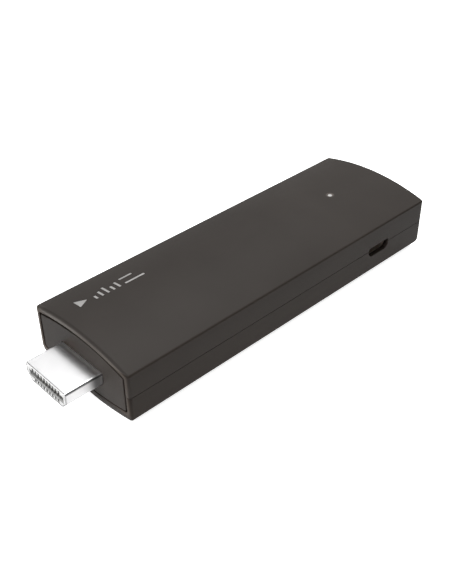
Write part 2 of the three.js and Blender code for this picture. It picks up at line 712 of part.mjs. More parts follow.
const portContactTop = tongueUnder - PIPE_SLACK;
contactPlaces(PORT_CONTACTS, PORT_CONTACT_PITCH).forEach((offset, i) => {
  const middle = PORT_Y + offset;
  const strip = block(
    [socketBackX + SEAT_GAP, PORT_MOUTH_X - PORT_TONGUE_GAP - FREE_GAP],
    [middle - PORT_CONTACT_WIDTH / 2, middle + PORT_CONTACT_WIDTH / 2],
    [portContactTop - PORT_CONTACT_SHEET, portContactTop],
  );
  add(`micro_usb_contact_${i + 1}`, strip, gold);
});

// ---------------------------------------------------------------- board and what it carries

const portNotch = block([PORT_REAR_X - FREE_GAP, BOARD_HALF + BEYOND], socketSpan, [0, BODY_HEIGHT]);
const board = cut(
  block([-BOARD_HALF, BOARD_HALF], [BOARD_FRONT_Y, BOARD_REAR_Y], [BOARD_UNDER_Z, BOARD_TOP_Z]),
  portNotch,
  ...SCREW_PLACES.map((place) => pillar(place, SCREW_RADIUS + HOLE_CLEARANCE, 0, BODY_HEIGHT, ROUND_SIDES)),
);
add("main_board", board, laminate);

// A flat part soldered on the board's upper face: name, middle [x, y], size [x, y, z], look.
const onTop = (name, [x, y], size, look) =>
  add(name, standing([x, y, BOARD_TOP_Z + SEAT_GAP], size), look);

onTop("processor", PROCESSOR_PLACE, PROCESSOR_SIZE, darkResin);
MEMORY_X.forEach((x, i) => {
  onTop(`memory_chip_${i + 1}`, [x, MEMORY_Y], MEMORY_SIZE, darkResin);
});
onTop("power_chip", POWER_CHIP_PLACE, POWER_CHIP_SIZE, darkResin);
onTop("wifi_module", WIFI_PLACE, WIFI_SIZE, tinned);
onTop("crystal", CRYSTAL_PLACE, CRYSTAL_SIZE, tinned);
onTop("status_led", [0, LIGHT_Y], [...LED_SIZE, LED_HEIGHT], milkyResin);
ESD_X.forEach((x, i) => {
  onTop(`esd_array_${i + 1}`, [x, ESD_Y], ESD_SIZE, darkResin);
});
INDUCTOR_X.forEach((x, i) => {
  onTop(`inductor_${i + 1}`, [x, POWER_ROW_Y], INDUCTOR_SIZE, ferrite);
});
CAPACITOR_X.forEach((x, i) => {
  onTop(`capacitor_${i + 1}`, [x, POWER_ROW_Y], CAPACITOR_SIZE, ceramicBrown);
});

const flash = standing([...FLASH_PLACE, BOARD_UNDER_Z - SEAT_GAP - CHIP_HEIGHT], FLASH_SIZE);
add("flash_memory", flash, darkResin);

// Shield: a soldered fence with a pressed lid that grips it from outside.
const fenceTop = SHIELD_TOP_Z - SHIELD_SHEET - SEAT_GAP;
function shieldWalls(outward, thickness, [z0, z1]) {
  const outerX = SHIELD_X + outward;
  const outerY = [SHIELD_Y[0] - outward, SHIELD_Y[1] + outward];
  return cut(
    block([-outerX, outerX], outerY, [z0, z1]),
    block(
      [thickness - outerX, outerX - thickness],
      [outerY[0] + thickness, outerY[1] - thickness],
      [z0 - BEYOND, z1 + BEYOND],
    ),
  );
}
add("shield_frame", shieldWalls(0, SHIELD_SHEET, [BOARD_TOP_Z + SEAT_GAP, fenceTop]), tinned);
const skirt = SHIELD_SHEET + SEAT_GAP;
const lidPlate = block(
  [-SHIELD_X - skirt, SHIELD_X + skirt],
  [SHIELD_Y[0] - skirt, SHIELD_Y[1] + skirt],
  [SHIELD_TOP_Z - SHIELD_SHEET, SHIELD_TOP_Z],
);
const skirtHeights = [SHIELD_TOP_Z - SKIRT_DEPTH, SHIELD_TOP_Z - SKIRT_OVERLAP];
add("shield_lid", join(lidPlate, shieldWalls(skirt, SHIELD_SHEET, skirtHeights)), tinned);

const innerPadFoot = BOARD_TOP_Z + 2 * SEAT_GAP + CHIP_HEIGHT;
const innerPadHeight = SHIELD_TOP_Z - SHIELD_SHEET - SEAT_GAP - innerPadFoot;
const innerPad = standing([...PROCESSOR_PLACE, innerPadFoot], [...INNER_PAD_SIZE, innerPadHeight]);
add("inner_thermal_pad", innerPad, silicone);

const shieldMidY = (SHIELD_Y[0] + SHIELD_Y[1]) / 2;
const shieldLength = SHIELD_Y[1] - SHIELD_Y[0];
const outerPad = standing(
  [0, shieldMidY, SHIELD_TOP_Z + SEAT_GAP],
  [OUTER_PAD_WIDTH, shieldLength - OUTER_PAD_MARGIN, PAD_THICKNESS],
);
add("outer_thermal_pad", outerPad, silicone);
const spreader = standing(
  [0, shieldMidY, SPREADER_Z],
  [SPREADER_WIDTH, shieldLength, SPREADER_THICKNESS],
);
add("heat_spreader", spreader, aluminium);

// Stamped antennas at the rear corners: a raised arm on one leg.
function antenna(side) {
  const across = (x0, x1) => (side > 0 ? [x0, x1] : [-x1, -x0]);
  const foot = BOARD_TOP_Z + SEAT_GAP;
  const armTop = BOARD_TOP_Z + ANTENNA_HEIGHT;
  const [rear, feedRear, front] = ANTENNA_STATIONS.map((back) => BOARD_REAR_Y - back);
  const [armEnd, feedX, legX] = ANTENNA_X;
  return join(
    block(across(armEnd, legX), [front, rear], [armTop - ANTENNA_SHEET, armTop]),
    block(across(legX - ANTENNA_SHEET, legX), [front, rear], [foot, armTop]),
    block(across(feedX - ANTENNA_SHEET, feedX), [front, feedRear], [foot, armTop]),
  );
}
add("antenna_right", antenna(1), plating);
add("antenna_left", antenna(-1), plating);

// Screws hold the board to the bottom cover's bosses, with a cross recess in each head.
const headFoot = BOARD_TOP_Z + SEAT_GAP;
const headTop = headFoot + HEAD_HEIGHT;
const [recessLength, recessWidth] = RECESS_SIZE;
SCREW_PLACES.forEach((place, i) => {
  const recessFoot = [...place, headTop - RECESS_DEPTH];
  const body = turned(
    place,
    [
      [0, SCREW_FOOT_Z],
      [SCREW_RADIUS * SCREW_TAPER, SCREW_FOOT_Z],
      [SCREW_RADIUS, SCREW_FOOT_Z + SCREW_TAPER],
      [SCREW_RADIUS, headFoot],
      [SCREW_HEAD_RADIUS, headFoot],
      [SCREW_HEAD_RADIUS, headTop - HEAD_CHAMFER],
      [SCREW_HEAD_RADIUS - HEAD_CHAMFER, headTop],
      [0, headTop],
    ],
    ROUND_SIDES,
  );
  const recess = join(
    standing(recessFoot, [recessLength, recessWidth, HEAD_HEIGHT]),
    standing(recessFoot, [recessWidth, recessLength, HEAD_HEIGHT]),
  );
  add(`board_screw_${i + 1}`, cut(body, recess), tinned);
});

export default player;
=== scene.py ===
"""Looks of the streaming media player stick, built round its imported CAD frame.

Lengths are in millimetres up to the moment a mesh is made, and MM turns them into metres.
"""
import json
import math

import bmesh
import bpy
from mathutils import Matrix, Vector


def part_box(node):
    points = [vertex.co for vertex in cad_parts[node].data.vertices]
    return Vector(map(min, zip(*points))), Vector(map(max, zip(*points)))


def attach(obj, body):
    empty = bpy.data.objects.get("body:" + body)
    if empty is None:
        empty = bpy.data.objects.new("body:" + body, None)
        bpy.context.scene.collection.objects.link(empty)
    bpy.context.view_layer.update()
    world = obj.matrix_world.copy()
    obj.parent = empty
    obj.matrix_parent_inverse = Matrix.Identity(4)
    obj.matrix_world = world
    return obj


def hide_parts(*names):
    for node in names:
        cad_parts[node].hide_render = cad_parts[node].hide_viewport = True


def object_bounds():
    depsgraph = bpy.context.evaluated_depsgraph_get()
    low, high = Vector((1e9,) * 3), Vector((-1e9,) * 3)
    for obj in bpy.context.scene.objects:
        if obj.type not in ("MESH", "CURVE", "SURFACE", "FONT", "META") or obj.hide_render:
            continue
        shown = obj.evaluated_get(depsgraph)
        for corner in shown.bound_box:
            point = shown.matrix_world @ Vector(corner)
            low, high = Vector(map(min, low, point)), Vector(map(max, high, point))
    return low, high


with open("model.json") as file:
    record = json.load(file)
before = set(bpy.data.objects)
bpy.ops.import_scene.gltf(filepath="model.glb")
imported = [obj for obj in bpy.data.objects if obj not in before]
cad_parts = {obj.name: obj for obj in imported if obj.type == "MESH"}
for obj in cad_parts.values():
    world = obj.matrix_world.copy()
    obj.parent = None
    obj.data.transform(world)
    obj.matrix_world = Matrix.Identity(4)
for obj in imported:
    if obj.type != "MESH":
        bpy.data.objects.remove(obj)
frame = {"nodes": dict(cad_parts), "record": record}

CAD_BOUNDS = [list(corner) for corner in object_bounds()]
MM = 0.001


def box_mm(node):
    low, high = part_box(node)
    return low / MM, high / MM


# ------------ sizes from the frame

TOP_LOW, TOP_HIGH = box_mm("top_cover")
PLATE_LOW, PLATE_HIGH = box_mm("front_plate")
SHELL_LOW, SHELL_HIGH = box_mm("hdmi_shell")
MOULDING_LOW, MOULDING_HIGH = box_mm("hdmi_moulding")
SOCKET_LOW, SOCKET_HIGH = box_mm("micro_usb_shell")
PIPE_LOW, PIPE_HIGH = box_mm("light_pipe")
LABEL_LOW, LABEL_HIGH = box_mm("rating_label")

BODY_HALF = TOP_HIGH.x
BODY_HEIGHT = TOP_HIGH.z
FRONT_Y = TOP_LOW.y
REAR_Y = TOP_HIGH.y
PLATE_Y = PLATE_LOW.y
SHOULDER_Y = PLATE_HIGH.y
TIP_Y = SHELL_LOW.y
PLUG_REAR_Y = SHELL_HIGH.y
PORT_Y = (SOCKET_LOW.y + SOCKET_HIGH.y) / 2
PORT_Z = (SOCKET_LOW.z + SOCKET_HIGH.z) / 2
PORT_MOUTH_X = SOCKET_HIGH.x
LIGHT_Y = (PIPE_LOW.y + PIPE_HIGH.y) / 2
LABEL_Y = (LABEL_LOW.y + LABEL_HIGH.y) / 2

# ------------ the casing's own sizes

TOP_RADIUS = 58
BELLY_RADIUS = 64
LAND_HALF = 4  # half the flat strip along the underside
TOP_ROUND = 0.55
BELLY_ROUND = 1.2
INNER_ROUND = 0.2
TOP_CENTRE_Z = BODY_HEIGHT - TOP_RADIUS
BELLY_CENTRE_Z = math.sqrt(BELLY_RADIUS**2 - LAND_HALF**2)
CREASE_Z = TOP_CENTRE_Z + math.sqrt(TOP_RADIUS**2 - BODY_HALF**2)
PARTING_Z = 8.1
SEAM = 0.08
SEAM_CHAMFER = 0.05
SEAM_FACET = 0.3  # share of the chamfer in its first facet
SEAM_OUTSIDE = 0.02  # how far outside the casing the chamfer ends
SEAM_STEP = 0.001
FRONT_ROLL = 0.7
REAR_SIDE_ROLL = 0.8
REAR_TOP_ROLL = 0.5
REAR_BELLY_ROLL = 1.3
LEAST_ROLL = 0.05
CHIN_HEIGHT = 2.2
CHIN_SETBACK = 0.5
RIM_SIDE = 1.2
RIM_TOP = 1.32
RIM_CHAMFER = 0.12
RIM_TOP_ROUND = 0.4
RIM_FOOT_ROUND = 0.6
POCKET_OVERCUT = 0.05
GROOVE = 0.5
GROOVE_DEPTH = 0.5
GROOVE_STEP = 0.01
PLATE_FIT = 0.15
PLATE_EDGE = 0.12
SLOT_GAP = 0.12  # between the plate and the plug
SLOT_CHAMFER = 0.1
SKIN = 0.5  # thickness of the fine outer layer laid over the CAD cover
SKIN_OVERLAP = 0.1

PORT_WIDTH = 7.05
PORT_HEIGHT = 2.42
PORT_BEVEL = 0.85
PORT_ROUND = 0.3
PORT_CHAMFER = 0.12
PORT_SLACK = 0.01
PORT_CUT_DEPTH = 0.5  # past the socket's mouth

LIGHT_RADIUS = 0.55
LIGHT_HOLE_GAP = 0.03
LIGHT_CHAMFER = 0.1
LIGHT_CUT_DEPTH = 2.5
PIPE_GAP = 0.02
PIPE_FOOT_RADIUS = 0.9
COLLAR_RADIUS = 1.45
COLLAR_TOP_Z = BODY_HEIGHT - 1.55
COLLAR_HEIGHT = 1.1
COLLAR_STEP = 0.05
DOME_RISE = 0.08
DOME_POINTS = 6
DOME_QUARTER = 5.5  # steps to a whole quarter turn, so the last point stops short of the axis

LABEL_CORNER = 0.4
LABEL_EDGE = 0.04
RECESS_MARGIN = 0.09
RECESS_DEPTH = 0.2

# ------------ the plug's own sizes

PLUG_WIDTH = 13.9
PLUG_HEIGHT = 4.45
PLUG_SHEET = 0.3
PLUG_ROUND = 0.5
PLUG_TOP_ROUND_LEAST = 0.12  # once the outline is drawn in
PLUG_LOW_ROUND_LEAST = 0.2
PLUG_UPRIGHT = 2.65
PLUG_FOOT_HALF = 5.25
PLUG_MID_Z = (SHELL_LOW.z + SHELL_HIGH.z) / 2
PLUG_TOP_Z = PLUG_MID_Z + PLUG_HEIGHT / 2
PLUG_FOOT_Z = PLUG_TOP_Z - PLUG_HEIGHT
TIP_ROLL = 0.22
MOUTH_CHAMFER = 0.03
NECK_SETBACK = 0.1
NECK_STEP = 0.05
NECK_INSET = 0.06
FLANGE_GAP = 0.15
FLANGE_THICKNESS = 0.4
FLANGE_ROUND = 0.6
LATCH_X = 3.2
LATCH_REACH = 4.2
LATCH_HALF_WIDTH = 0.95
LATCH_HALF_LENGTH = 0.8
LATCH_ROUND = 0.2
LATCH_CUT_RISE = 0.5

MOULDING_INSET = 0.05
MOULDING_CHAMFER = 0.02
TONGUE_SLOT_HALF = 5.9
TONGUE_SLOT_HEIGHT = 1.6
TONGUE_SLOT_DEPTH = 8
TONGUE_SLOT_ROUND = 0.2
SLOT_FLARE = 0.12
SLOT_FLARE_DEPTH = 0.15
UPPER_CONTACTS = 10
LOWER_CONTACTS = 9
CHANNEL_HALF = 0.29
CHANNEL_DEPTH = 0.85
CHANNEL_OVERLAP = 0.1  # into the tongue slot
WINDOW_OVERLAP = 0.1  # into the channel
CHANNEL_LIP = 0.4  # bridge over each lower channel at its mouth
WINDOW_DROP = 0.25  # top of the opening under that bridge, below the channel's top
LEAD_HALF = 0.34  # each contact's channel is a little wider at its mouth
LEAD_RISE = 0.06
LEAD_DROP = 0.2
LEAD_DEPTH = 0.07

CROWN_STEPS = 72
CORNER_STEPS = 7
BELLY_STEPS = 28
CASING_SPANS = 24
ROUND_STEPS = 40
BEYOND = 3  # how far a cutting solid runs past what it cuts
CLEAR = 1  # the same, on small cuts

# ------------ meshes


def made(name, build):
    """A new object whose mesh build(bm) fills in, in millimetres."""
    mesh = bpy.data.meshes.new(name)
    bm = bmesh.new()
    build(bm)
    bmesh.ops.recalc_face_normals(bm, faces=bm.faces)
    bmesh.ops.scale(bm, vec=(MM, MM, MM), verts=bm.verts)
    bm.to_mesh(mesh)
    bm.free()
    piece = bpy.data.objects.new(name, mesh)
    bpy.context.scene.collection.objects.link(piece)
    return piece


def lofted(name, rings):
    """A closed solid through rings of the same number of points, capped at both ends."""

    def build(bm):
        loops = [[bm.verts.new(point) for point in ring] for ring in rings]
        for near, far in zip(loops, loops[1:]):
            for i in range(len(near)):
                j = (i + 1) % len(near)
                bm.faces.new((near[i], near[j], far[j], far[i]))
        bm.faces.new(loops[0])
        bm.faces.new(loops[-1])

    return made(name, build)


def box(name, low, high):
    left, front, foot = low
    right, rear, top = high
    corners = [(left, front), (right, front), (right, rear), (left, rear)]
    return lofted(name, [[(x, y, z) for x, y in corners] for z in (foot, top)])


def copied(name, node):
    """A copy of a CAD node's mesh, shared vertices merged."""
    mesh = frame["nodes"][node].data.copy()
    bm = bmesh.new()
    bm.from_mesh(mesh)
    bmesh.ops.remove_doubles(bm, verts=bm.verts, dist=MM / 1000)
    bm.to_mesh(mesh)
    bm.free()
    mesh.name = name
    mesh.materials.clear()
    piece = bpy.data.objects.new(name, mesh)
    bpy.context.scene.collection.objects.link(piece)
    return piece


def settle(piece):
    """Puts the modifiers' result into the mesh."""
    graph = bpy.context.evaluated_depsgraph_get()
    mesh = bpy.data.meshes.new_from_object(piece.evaluated_get(graph))
    piece.modifiers.clear()
    piece.data = mesh
    return piece


def combined(piece, operation, *tools):
    for tool in tools:
        step = piece.modifiers.new(operation, "BOOLEAN")
        step.operation = operation
        step.solver = "MANIFOLD"
        step.object = tool
    settle(piece)
    for tool in tools:
        bpy.data.objects.remove(tool)
    return piece


def cut(piece, *tools):
    return combined(piece, "DIFFERENCE", *tools)


def joined(piece, *tools):
    return combined(piece, "UNION", *tools)


def common(piece, *tools):
    return combined(piece, "INTERSECT", *tools)


def smoothed(piece, angle=28):
    """Smooth shading inside edges sharper than angle degrees, with flats kept flat."""
    mesh = piece.data
    mesh.shade_smooth()
    mesh.set_sharp_from_angle(angle=math.radians(angle))
    weigh = piece.modifiers.new("flats", "WEIGHTED_NORMAL")
    weigh.keep_sharp = True
    weigh.weight = 100
    return settle(piece)


def finished(piece, material, slot, *nodes):
    """Gives a piece its material and its body, and hides the CAD nodes it stands for."""
    piece.data.materials.clear()
    piece.data.materials.append(material)
    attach(piece, "root")
    if nodes:
        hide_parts(*nodes)
    return piece


# ------------ outlines


def arc(centre, radius, start, end, steps):
    """Points of an arc, in degrees, both ends included."""
    points = []
    for i in range(steps + 1):
        angle = math.radians(start + (end - start) * i / steps)
        across = centre[0] + radius * math.cos(angle)
        points.append((across, centre[1] + radius * math.sin(angle)))
    return points


def casing_section(side, top, belly, top_round, belly_round):
    """The casing's cross section as a loop of (x, z), drawn in by side, top and belly."""
    half = BODY_HALF - side
    crown = TOP_RADIUS - top
    keel = BELLY_RADIUS - belly
    reach = half - top_round
    top_rise = math.sqrt((crown - top_round) ** 2 - reach**2)
    top_turn = math.degrees(math.atan2(top_rise, reach))
    top_corner_z = TOP_CENTRE_Z + top_rise
    low_reach = half - belly_round
    low_drop = math.sqrt((keel - belly_round) ** 2 - low_reach**2)
    low_turn = math.degrees(math.atan2(low_drop, low_reach))
    low_corner_z = BELLY_CENTRE_Z - low_drop
    land_turn = math.degrees(math.acos(LAND_HALF / keel))
    right = arc((reach, top_corner_z), top_round, 0, top_turn, CORNER_STEPS)
    crowned = arc((0, TOP_CENTRE_Z), crown, top_turn, 180 - top_turn, CROWN_STEPS)
    left = arc((-reach, top_corner_z), top_round, 180 - top_turn, 180, CORNER_STEPS)
    low_left = arc((-low_reach, low_corner_z), belly_round, 180, 180 + low_turn, CORNER_STEPS)
    keel_left = arc((0, BELLY_CENTRE_Z), keel, 180 + low_turn, 180 + land_turn, BELLY_STEPS)
    keel_left[-1] = (-LAND_HALF, belly)
    upper = right[:-1] + crowned + left[1:]
    lower = low_left[:-1] + keel_left
    return upper + lower + [(-x, z) for x, z in reversed(lower)]


def rounded(corners, steps=CORNER_STEPS):
    """A loop through corners (across, up, radius), each rounded by an arc of its radius."""
    loop = []
    for i, (x, y, radius) in enumerate(corners):
        corner = Vector((x, y))
        back = (Vector(corners[i - 1][:2]) - corner).normalized()
        ahead = (Vector(corners[(i + 1) % len(corners)][:2]) - corner).normalized()
        half = back.angle(ahead) / 2
        centre = corner + (back + ahead).normalized() * radius / math.sin(half)
        start = corner + back * radius / math.tan(half) - centre
        turn = math.copysign(math.pi - 2 * half, ahead.cross(back))
        for k in range(steps + 1):
            angle = turn * k / steps
            spoke = Matrix.Rotation(angle, 2) @ start
            loop.append(tuple(centre + spoke))
    return loop


def rolled(depth, reach, travel):
    """How far a rolled edge is drawn in, travel millimetres from its end plane."""
    share = 1 - min(travel / reach, 1)
    return depth * (1 - math.sqrt(max(0.0, 1 - share**2)))


def quarter_steps(reach, steps):
    return [reach * (1 - math.cos(math.pi / 2 * i / steps)) for i in range(steps + 1)]


def plan_loop(inset, z):
    """The casing seen from above, drawn in by inset, as points at height z."""
    front = max(FRONT_ROLL - inset, LEAST_ROLL)
    rear = max(REAR_SIDE_ROLL - inset, LEAST_ROLL)
    half = BODY_HALF - inset
    loop = rounded(
        [
            (half, FRONT_Y + inset, front),
            (half, REAR_Y - inset, rear),
            (-half, REAR_Y - inset, rear),
            (-half, FRONT_Y + inset, front),
        ]
    )
    return [(x, y, z) for x, y in loop]


def along_y(y, loop):
    return [(x, y, z) for x, z in loop]


def along_x(x, loop):
    return [(x, y, z) for y, z in loop]


# ------------ materials

FLOW_SCALE = 60
NOISE_BAND = (0.3, 0.7)  # where most of a noise texture's values lie
GLOSS_SPREAD = 0.04
METAL_SPREAD = 0.15  # of the roughness


def shader(name, colour, roughness, **sockets):
    """A new material and its Principled node, with constant values on the node's own sockets."""
    material = bpy.data.materials.new(name)
    material.use_nodes = True
    node = material.node_tree.nodes["Principled BSDF"]
    node.inputs["Base Color"].default_value = (*colour, 1)
    node.inputs["Roughness"].default_value = roughness
    for socket, value in sockets.items():
        node.inputs[socket.replace("_", " ")].default_value = value
    return material, node


def place(tree, scale):
    """Object coordinates stretched by scale, which may be one number or three."""
    stretch = scale if isinstance(scale, tuple) else (scale,) * 3
    source = tree.nodes.new("ShaderNodeTexCoord")
    mapping = tree.nodes.new("ShaderNodeMapping")
    mapping.inputs["Scale"].default_value = stretch
    tree.links.new(source.outputs["Object"], mapping.inputs["Vector"])
    return mapping.outputs["Vector"]


def noise(tree, scale, detail=3.0, roughness=0.5):
    texture = tree.nodes.new("ShaderNodeTexNoise")
    texture.inputs["Scale"].default_value = 1
    texture.inputs["Detail"].default_value = detail
    texture.inputs["Roughness"].default_value = roughness
    tree.links.new(place(tree, scale), texture.inputs["Vector"])
    return texture.outputs["Fac"]


def ramp(tree, value, stops):
    """A colour ramp over value, through stops of (position, (r, g, b))."""
    node = tree.nodes.new("ShaderNodeValToRGB")
    while len(node.color_ramp.elements) < len(stops):
        node.color_ramp.elements.new(0.5)
    for element, (position, colour) in zip(node.color_ramp.elements, stops):
        element.position = position
        element.color = (*colour, 1)
    tree.links.new(value, node.inputs["Fac"])
    return node.outputs["Color"]


def spread(tree, value, low, high, floor, ceiling):
    """value mapped from low..high to floor..ceiling."""
    node = tree.nodes.new("ShaderNodeMapRange")
    node.inputs["From Min"].default_value = low
    node.inputs["From Max"].default_value = high
    node.inputs["To Min"].default_value = floor
    node.inputs["To Max"].default_value = ceiling
    tree.links.new(value, node.inputs["Value"])
    return node.outputs["Result"]


def bumped(tree, node, height, depth, strength=1.0):
    bump = tree.nodes.new("ShaderNodeBump")
    bump.inputs["Distance"].default_value = depth * MM
    bump.inputs["Strength"].default_value = strength
    tree.links.new(height, bump.inputs["Height"])
    tree.links.new(bump.outputs["Normal"], node.inputs["Normal"])


def shade(colour, factor):
    return tuple(channel * factor for channel in colour)


def moulded(name, colour, roughness, grain=6500, depth=0.004, variation=0.06, **sockets):
    """Moulded plastic or ceramic: faint flow marks in the colour, a fine grain."""
    material, node = shader(name, colour, roughness, **sockets)
    tree = material.node_tree
    flow = noise(tree, FLOW_SCALE, detail=2)
    shades = (shade(colour, 1 - variation), shade(colour, 1 + variation))
    tree.links.new(ramp(tree, flow, list(zip(NOISE_BAND, shades))), node.inputs["Base Color"])
    fine = noise(tree, grain, detail=2)
    limits = (roughness - GLOSS_SPREAD, roughness + GLOSS_SPREAD)
    tree.links.new(spread(tree, fine, *NOISE_BAND, *limits), node.inputs["Roughness"])
    bumped(tree, node, fine, depth)
    return material


def metal(name, colour, roughness, grain=(900, 60, 900), depth=0.001, variation=0.05, **sockets):
    """Stamped or rolled metal: faint drawn lines, slightly uneven gloss."""
    material, node = shader(name, colour, roughness, Metallic=1.0, **sockets)
    tree = material.node_tree
    lines = noise(tree, grain, detail=4)
    shades = (shade(colour, 1 - variation), colour)
    tree.links.new(ramp(tree, lines, list(zip(NOISE_BAND, shades))), node.inputs["Base Color"])
    limits = (roughness * (1 - METAL_SPREAD), roughness * (1 + METAL_SPREAD))
    tree.links.new(spread(tree, lines, *NOISE_BAND, *limits), node.inputs["Roughness"])
    bumped(tree, node, lines, depth)
    return material


CASING_COLOUR = (0.036, 0.0315, 0.0285)
CASING_ROUGHNESS = 0.55
CASING_SPECULAR = 0.08


def maths(tree, operation, *values):
    """A Math node's result over sockets and plain numbers."""
    node = tree.nodes.new("ShaderNodeMath")
    node.operation = operation
    for socket, value in zip(node.inputs, values):
        if isinstance(value, float):
            socket.default_value = value
        else:
            tree.links.new(value, socket)
    return node.outputs["Value"]


def product(tree, first, *others):
    """The product of sockets and plain numbers."""
    for other in others:
        first = maths(tree, "MULTIPLY", first, other)
    return first


def axes(tree):
    """The object coordinates, a socket for each axis."""
    split = tree.nodes.new("ShaderNodeSeparateXYZ")
    tree.links.new(place(tree, 1), split.inputs["Vector"])
    return split.outputs["X"], split.outputs["Y"], split.outputs["Z"]


def span(tree, value, start, end, floor, ceiling):
    """A coordinate mapped from start..end, in millimetres, to floor..ceiling."""
    return spread(tree, value, start * MM, end * MM, floor, ceiling)


def blend(tree, share, value):
    """1 where share is 0, value where share is 1."""
    node = tree.nodes.new("ShaderNodeMapRange")
    tree.links.new(share, node.inputs["Value"])
    node.inputs["To Min"].default_value = 1
    tree.links.new(value, node.inputs["To Max"])
    return node.outputs["Result"]


def mix(tree, share, first, second):
    """first where share is 0, second where share is 1."""
    node = tree.nodes.new("ShaderNodeMix")
    tree.links.new(share, node.inputs["Factor"])
    tree.links.new(first, node.inputs["A"])
    tree.links.new(second, node.inputs["B"])
    return node.outputs["Result"]


def grey_ramp(tree, value, stops):
    return ramp(tree, value, [(position, (level,) * 3) for position, level in stops])


def scaled(tree, colour, factor):
    """A colour socket multiplied by a number."""
    node = tree.nodes.new("ShaderNodeVectorMath")
    node.operation = "SCALE"
    tree.links.new(colour, node.inputs[0])
    tree.links.new(factor, node.inputs["Scale"])
    return node.outputs["Vector"]


def tinted(tree, colour, share, stops):
    """A colour socket multiplied by the colour that a ramp gives over share."""
    node = tree.nodes.new("ShaderNodeVectorMath")
    node.operation = "MULTIPLY"
    tree.links.new(colour, node.inputs[0])
    tree.links.new(ramp(tree, share, stops), node.inputs[1])
    return node.outputs["Vector"]


def recolour(material, share, tint_over=None, tint=()):
    """Multiplies a material's colour by share and by the tint's ramp over tint_over."""
    tree = material.node_tree
    socket = tree.nodes["Principled BSDF"].inputs["Base Color"]
    colour = scaled(tree, socket.links[0].from_socket, share)
    if tint:
        colour = tinted(tree, colour, tint_over, tint)
    tree.links.new(colour, socket)


# The shares below multiply a colour by place on the piece. They don't show wear or dirt: they
# were tuned so that, in this scene's light, the tones match the reference photo's.
# They paint light and shade into the colour: painted highlights, painted reflections and painted shade.

# ------------ the casing's colour by place, with painted light and shade

SIDE_SHARE = 0.58  # painted shade on the sides and underneath
# painted shade on the sides, a little lighter near their foot and darker near their top
SIDE_FOOT_FACTOR = 1.08
SIDE_TOP_FACTOR = 0.86
SIDE_FOOT_Z = 2
CREASE_SHARE = 0.56  # painted shade: the dark line along the top's long edges
CREASE_BLUR = 0.1
# SIDE_TINT colours the sides' painted shade
SIDE_TINT = (0.93, 0.83, 0.75)
RIM_REACH = 1.0  # how far back from the front the rim's painted highlight and shade run
# painted highlight at the rim's front edge, then painted shade in the line behind it
RIM_STOPS_TOP = 2.6
RIM_STOPS = [
    (0.0, 2.3), (0.02, 2.2), (0.05, 1.7), (0.1, 1.25),
    (0.2, 0.9), (0.4, 0.78), (0.6, 0.95), (0.8, 1.0),
]
RIM_FOOT = (2.5, 3.2)  # heights between which the rim's painted highlight begins
LEFT_SHARE = 1.5  # painted light on the rim's left side
LEFT_BAND = (-0.9 * BODY_HALF, -0.8 * BODY_HALF)
LEFT_REACH = (0.6, 1.2)  # how far back from the front the left side's painted light fades
# painted light on the crown and painted shade on the sides towards the closed end
REAR_TOP_SHARE = 1.15
REAR_SIDE_SHARE = 0.8
REAR_SIDE_START = 0.4 * REAR_Y
GLOW_SHARE = 3.2  # painted glow round the status light
GLOW_REACH = 0.6


def height_share(tree, z):
    """Colour share by height, which paints shade: darker sides, a dark crease, the crown."""
    share = span(tree, z, 0.0, BODY_HEIGHT, 0.0, 1.0)
    rises = (
        (-0.75, SIDE_SHARE * SIDE_TOP_FACTOR),
        (-0.4, CREASE_SHARE),
        (-0.1, CREASE_SHARE),
        (0.08, 1.0),
    )
    stops = [(SIDE_FOOT_Z / BODY_HEIGHT, SIDE_SHARE * SIDE_FOOT_FACTOR)]
    stops += [((CREASE_Z + rise) / BODY_HEIGHT, level) for rise, level in rises]
    return grey_ramp(tree, share, stops)


def rim_share(tree, x, y, z):
    """Colour share near the front: a painted highlight at the rim's edge, painted shade just behind it,
    and painted light on its left side.
    """
    reach = span(tree, y, FRONT_Y, FRONT_Y + RIM_REACH, 0.0, 1.0)
    edge = grey_ramp(tree, reach, [(stop, level / RIM_STOPS_TOP) for stop, level in RIM_STOPS])
    above = span(tree, z, *RIM_FOOT, 1.0 / RIM_STOPS_TOP, 1.0)
    left = span(tree, x, *LEFT_BAND, LEFT_SHARE, 1.0)
    near, far = LEFT_REACH
    at_front = span(tree, y, FRONT_Y + near, FRONT_Y + far, 1.0, 0.0)
    lowest = maths(tree, "MINIMUM", edge, above)
    return product(tree, lowest, RIM_STOPS_TOP, blend(tree, at_front, left))


def glow_share(tree):
    """Colour share that paints a glow in the small spot round the status light."""
    far = tree.nodes.new("ShaderNodeVectorMath")
    far.operation = "DISTANCE"
    tree.links.new(place(tree, 1), far.inputs[0])
    far.inputs[1].default_value = (0, LIGHT_Y * MM, BODY_HEIGHT * MM)
    edge = LIGHT_RADIUS + GLOW_REACH
    return span(tree, far.outputs["Value"], LIGHT_RADIUS, edge, GLOW_SHARE, 1.0)


def rear_share(tree, y, on_side, on_top):
    """Colour share towards the closed end, apart on the crown and on the sides: painted light on the
    crown, painted shade on the sides.
    """
    top = span(tree, y, 0.0, REAR_Y, 1.0, REAR_TOP_SHARE)
    side = span(tree, y, REAR_SIDE_START, REAR_Y, 1.0, REAR_SIDE_SHARE)
    return product(tree, blend(tree, on_top, top), blend(tree, on_side, side))


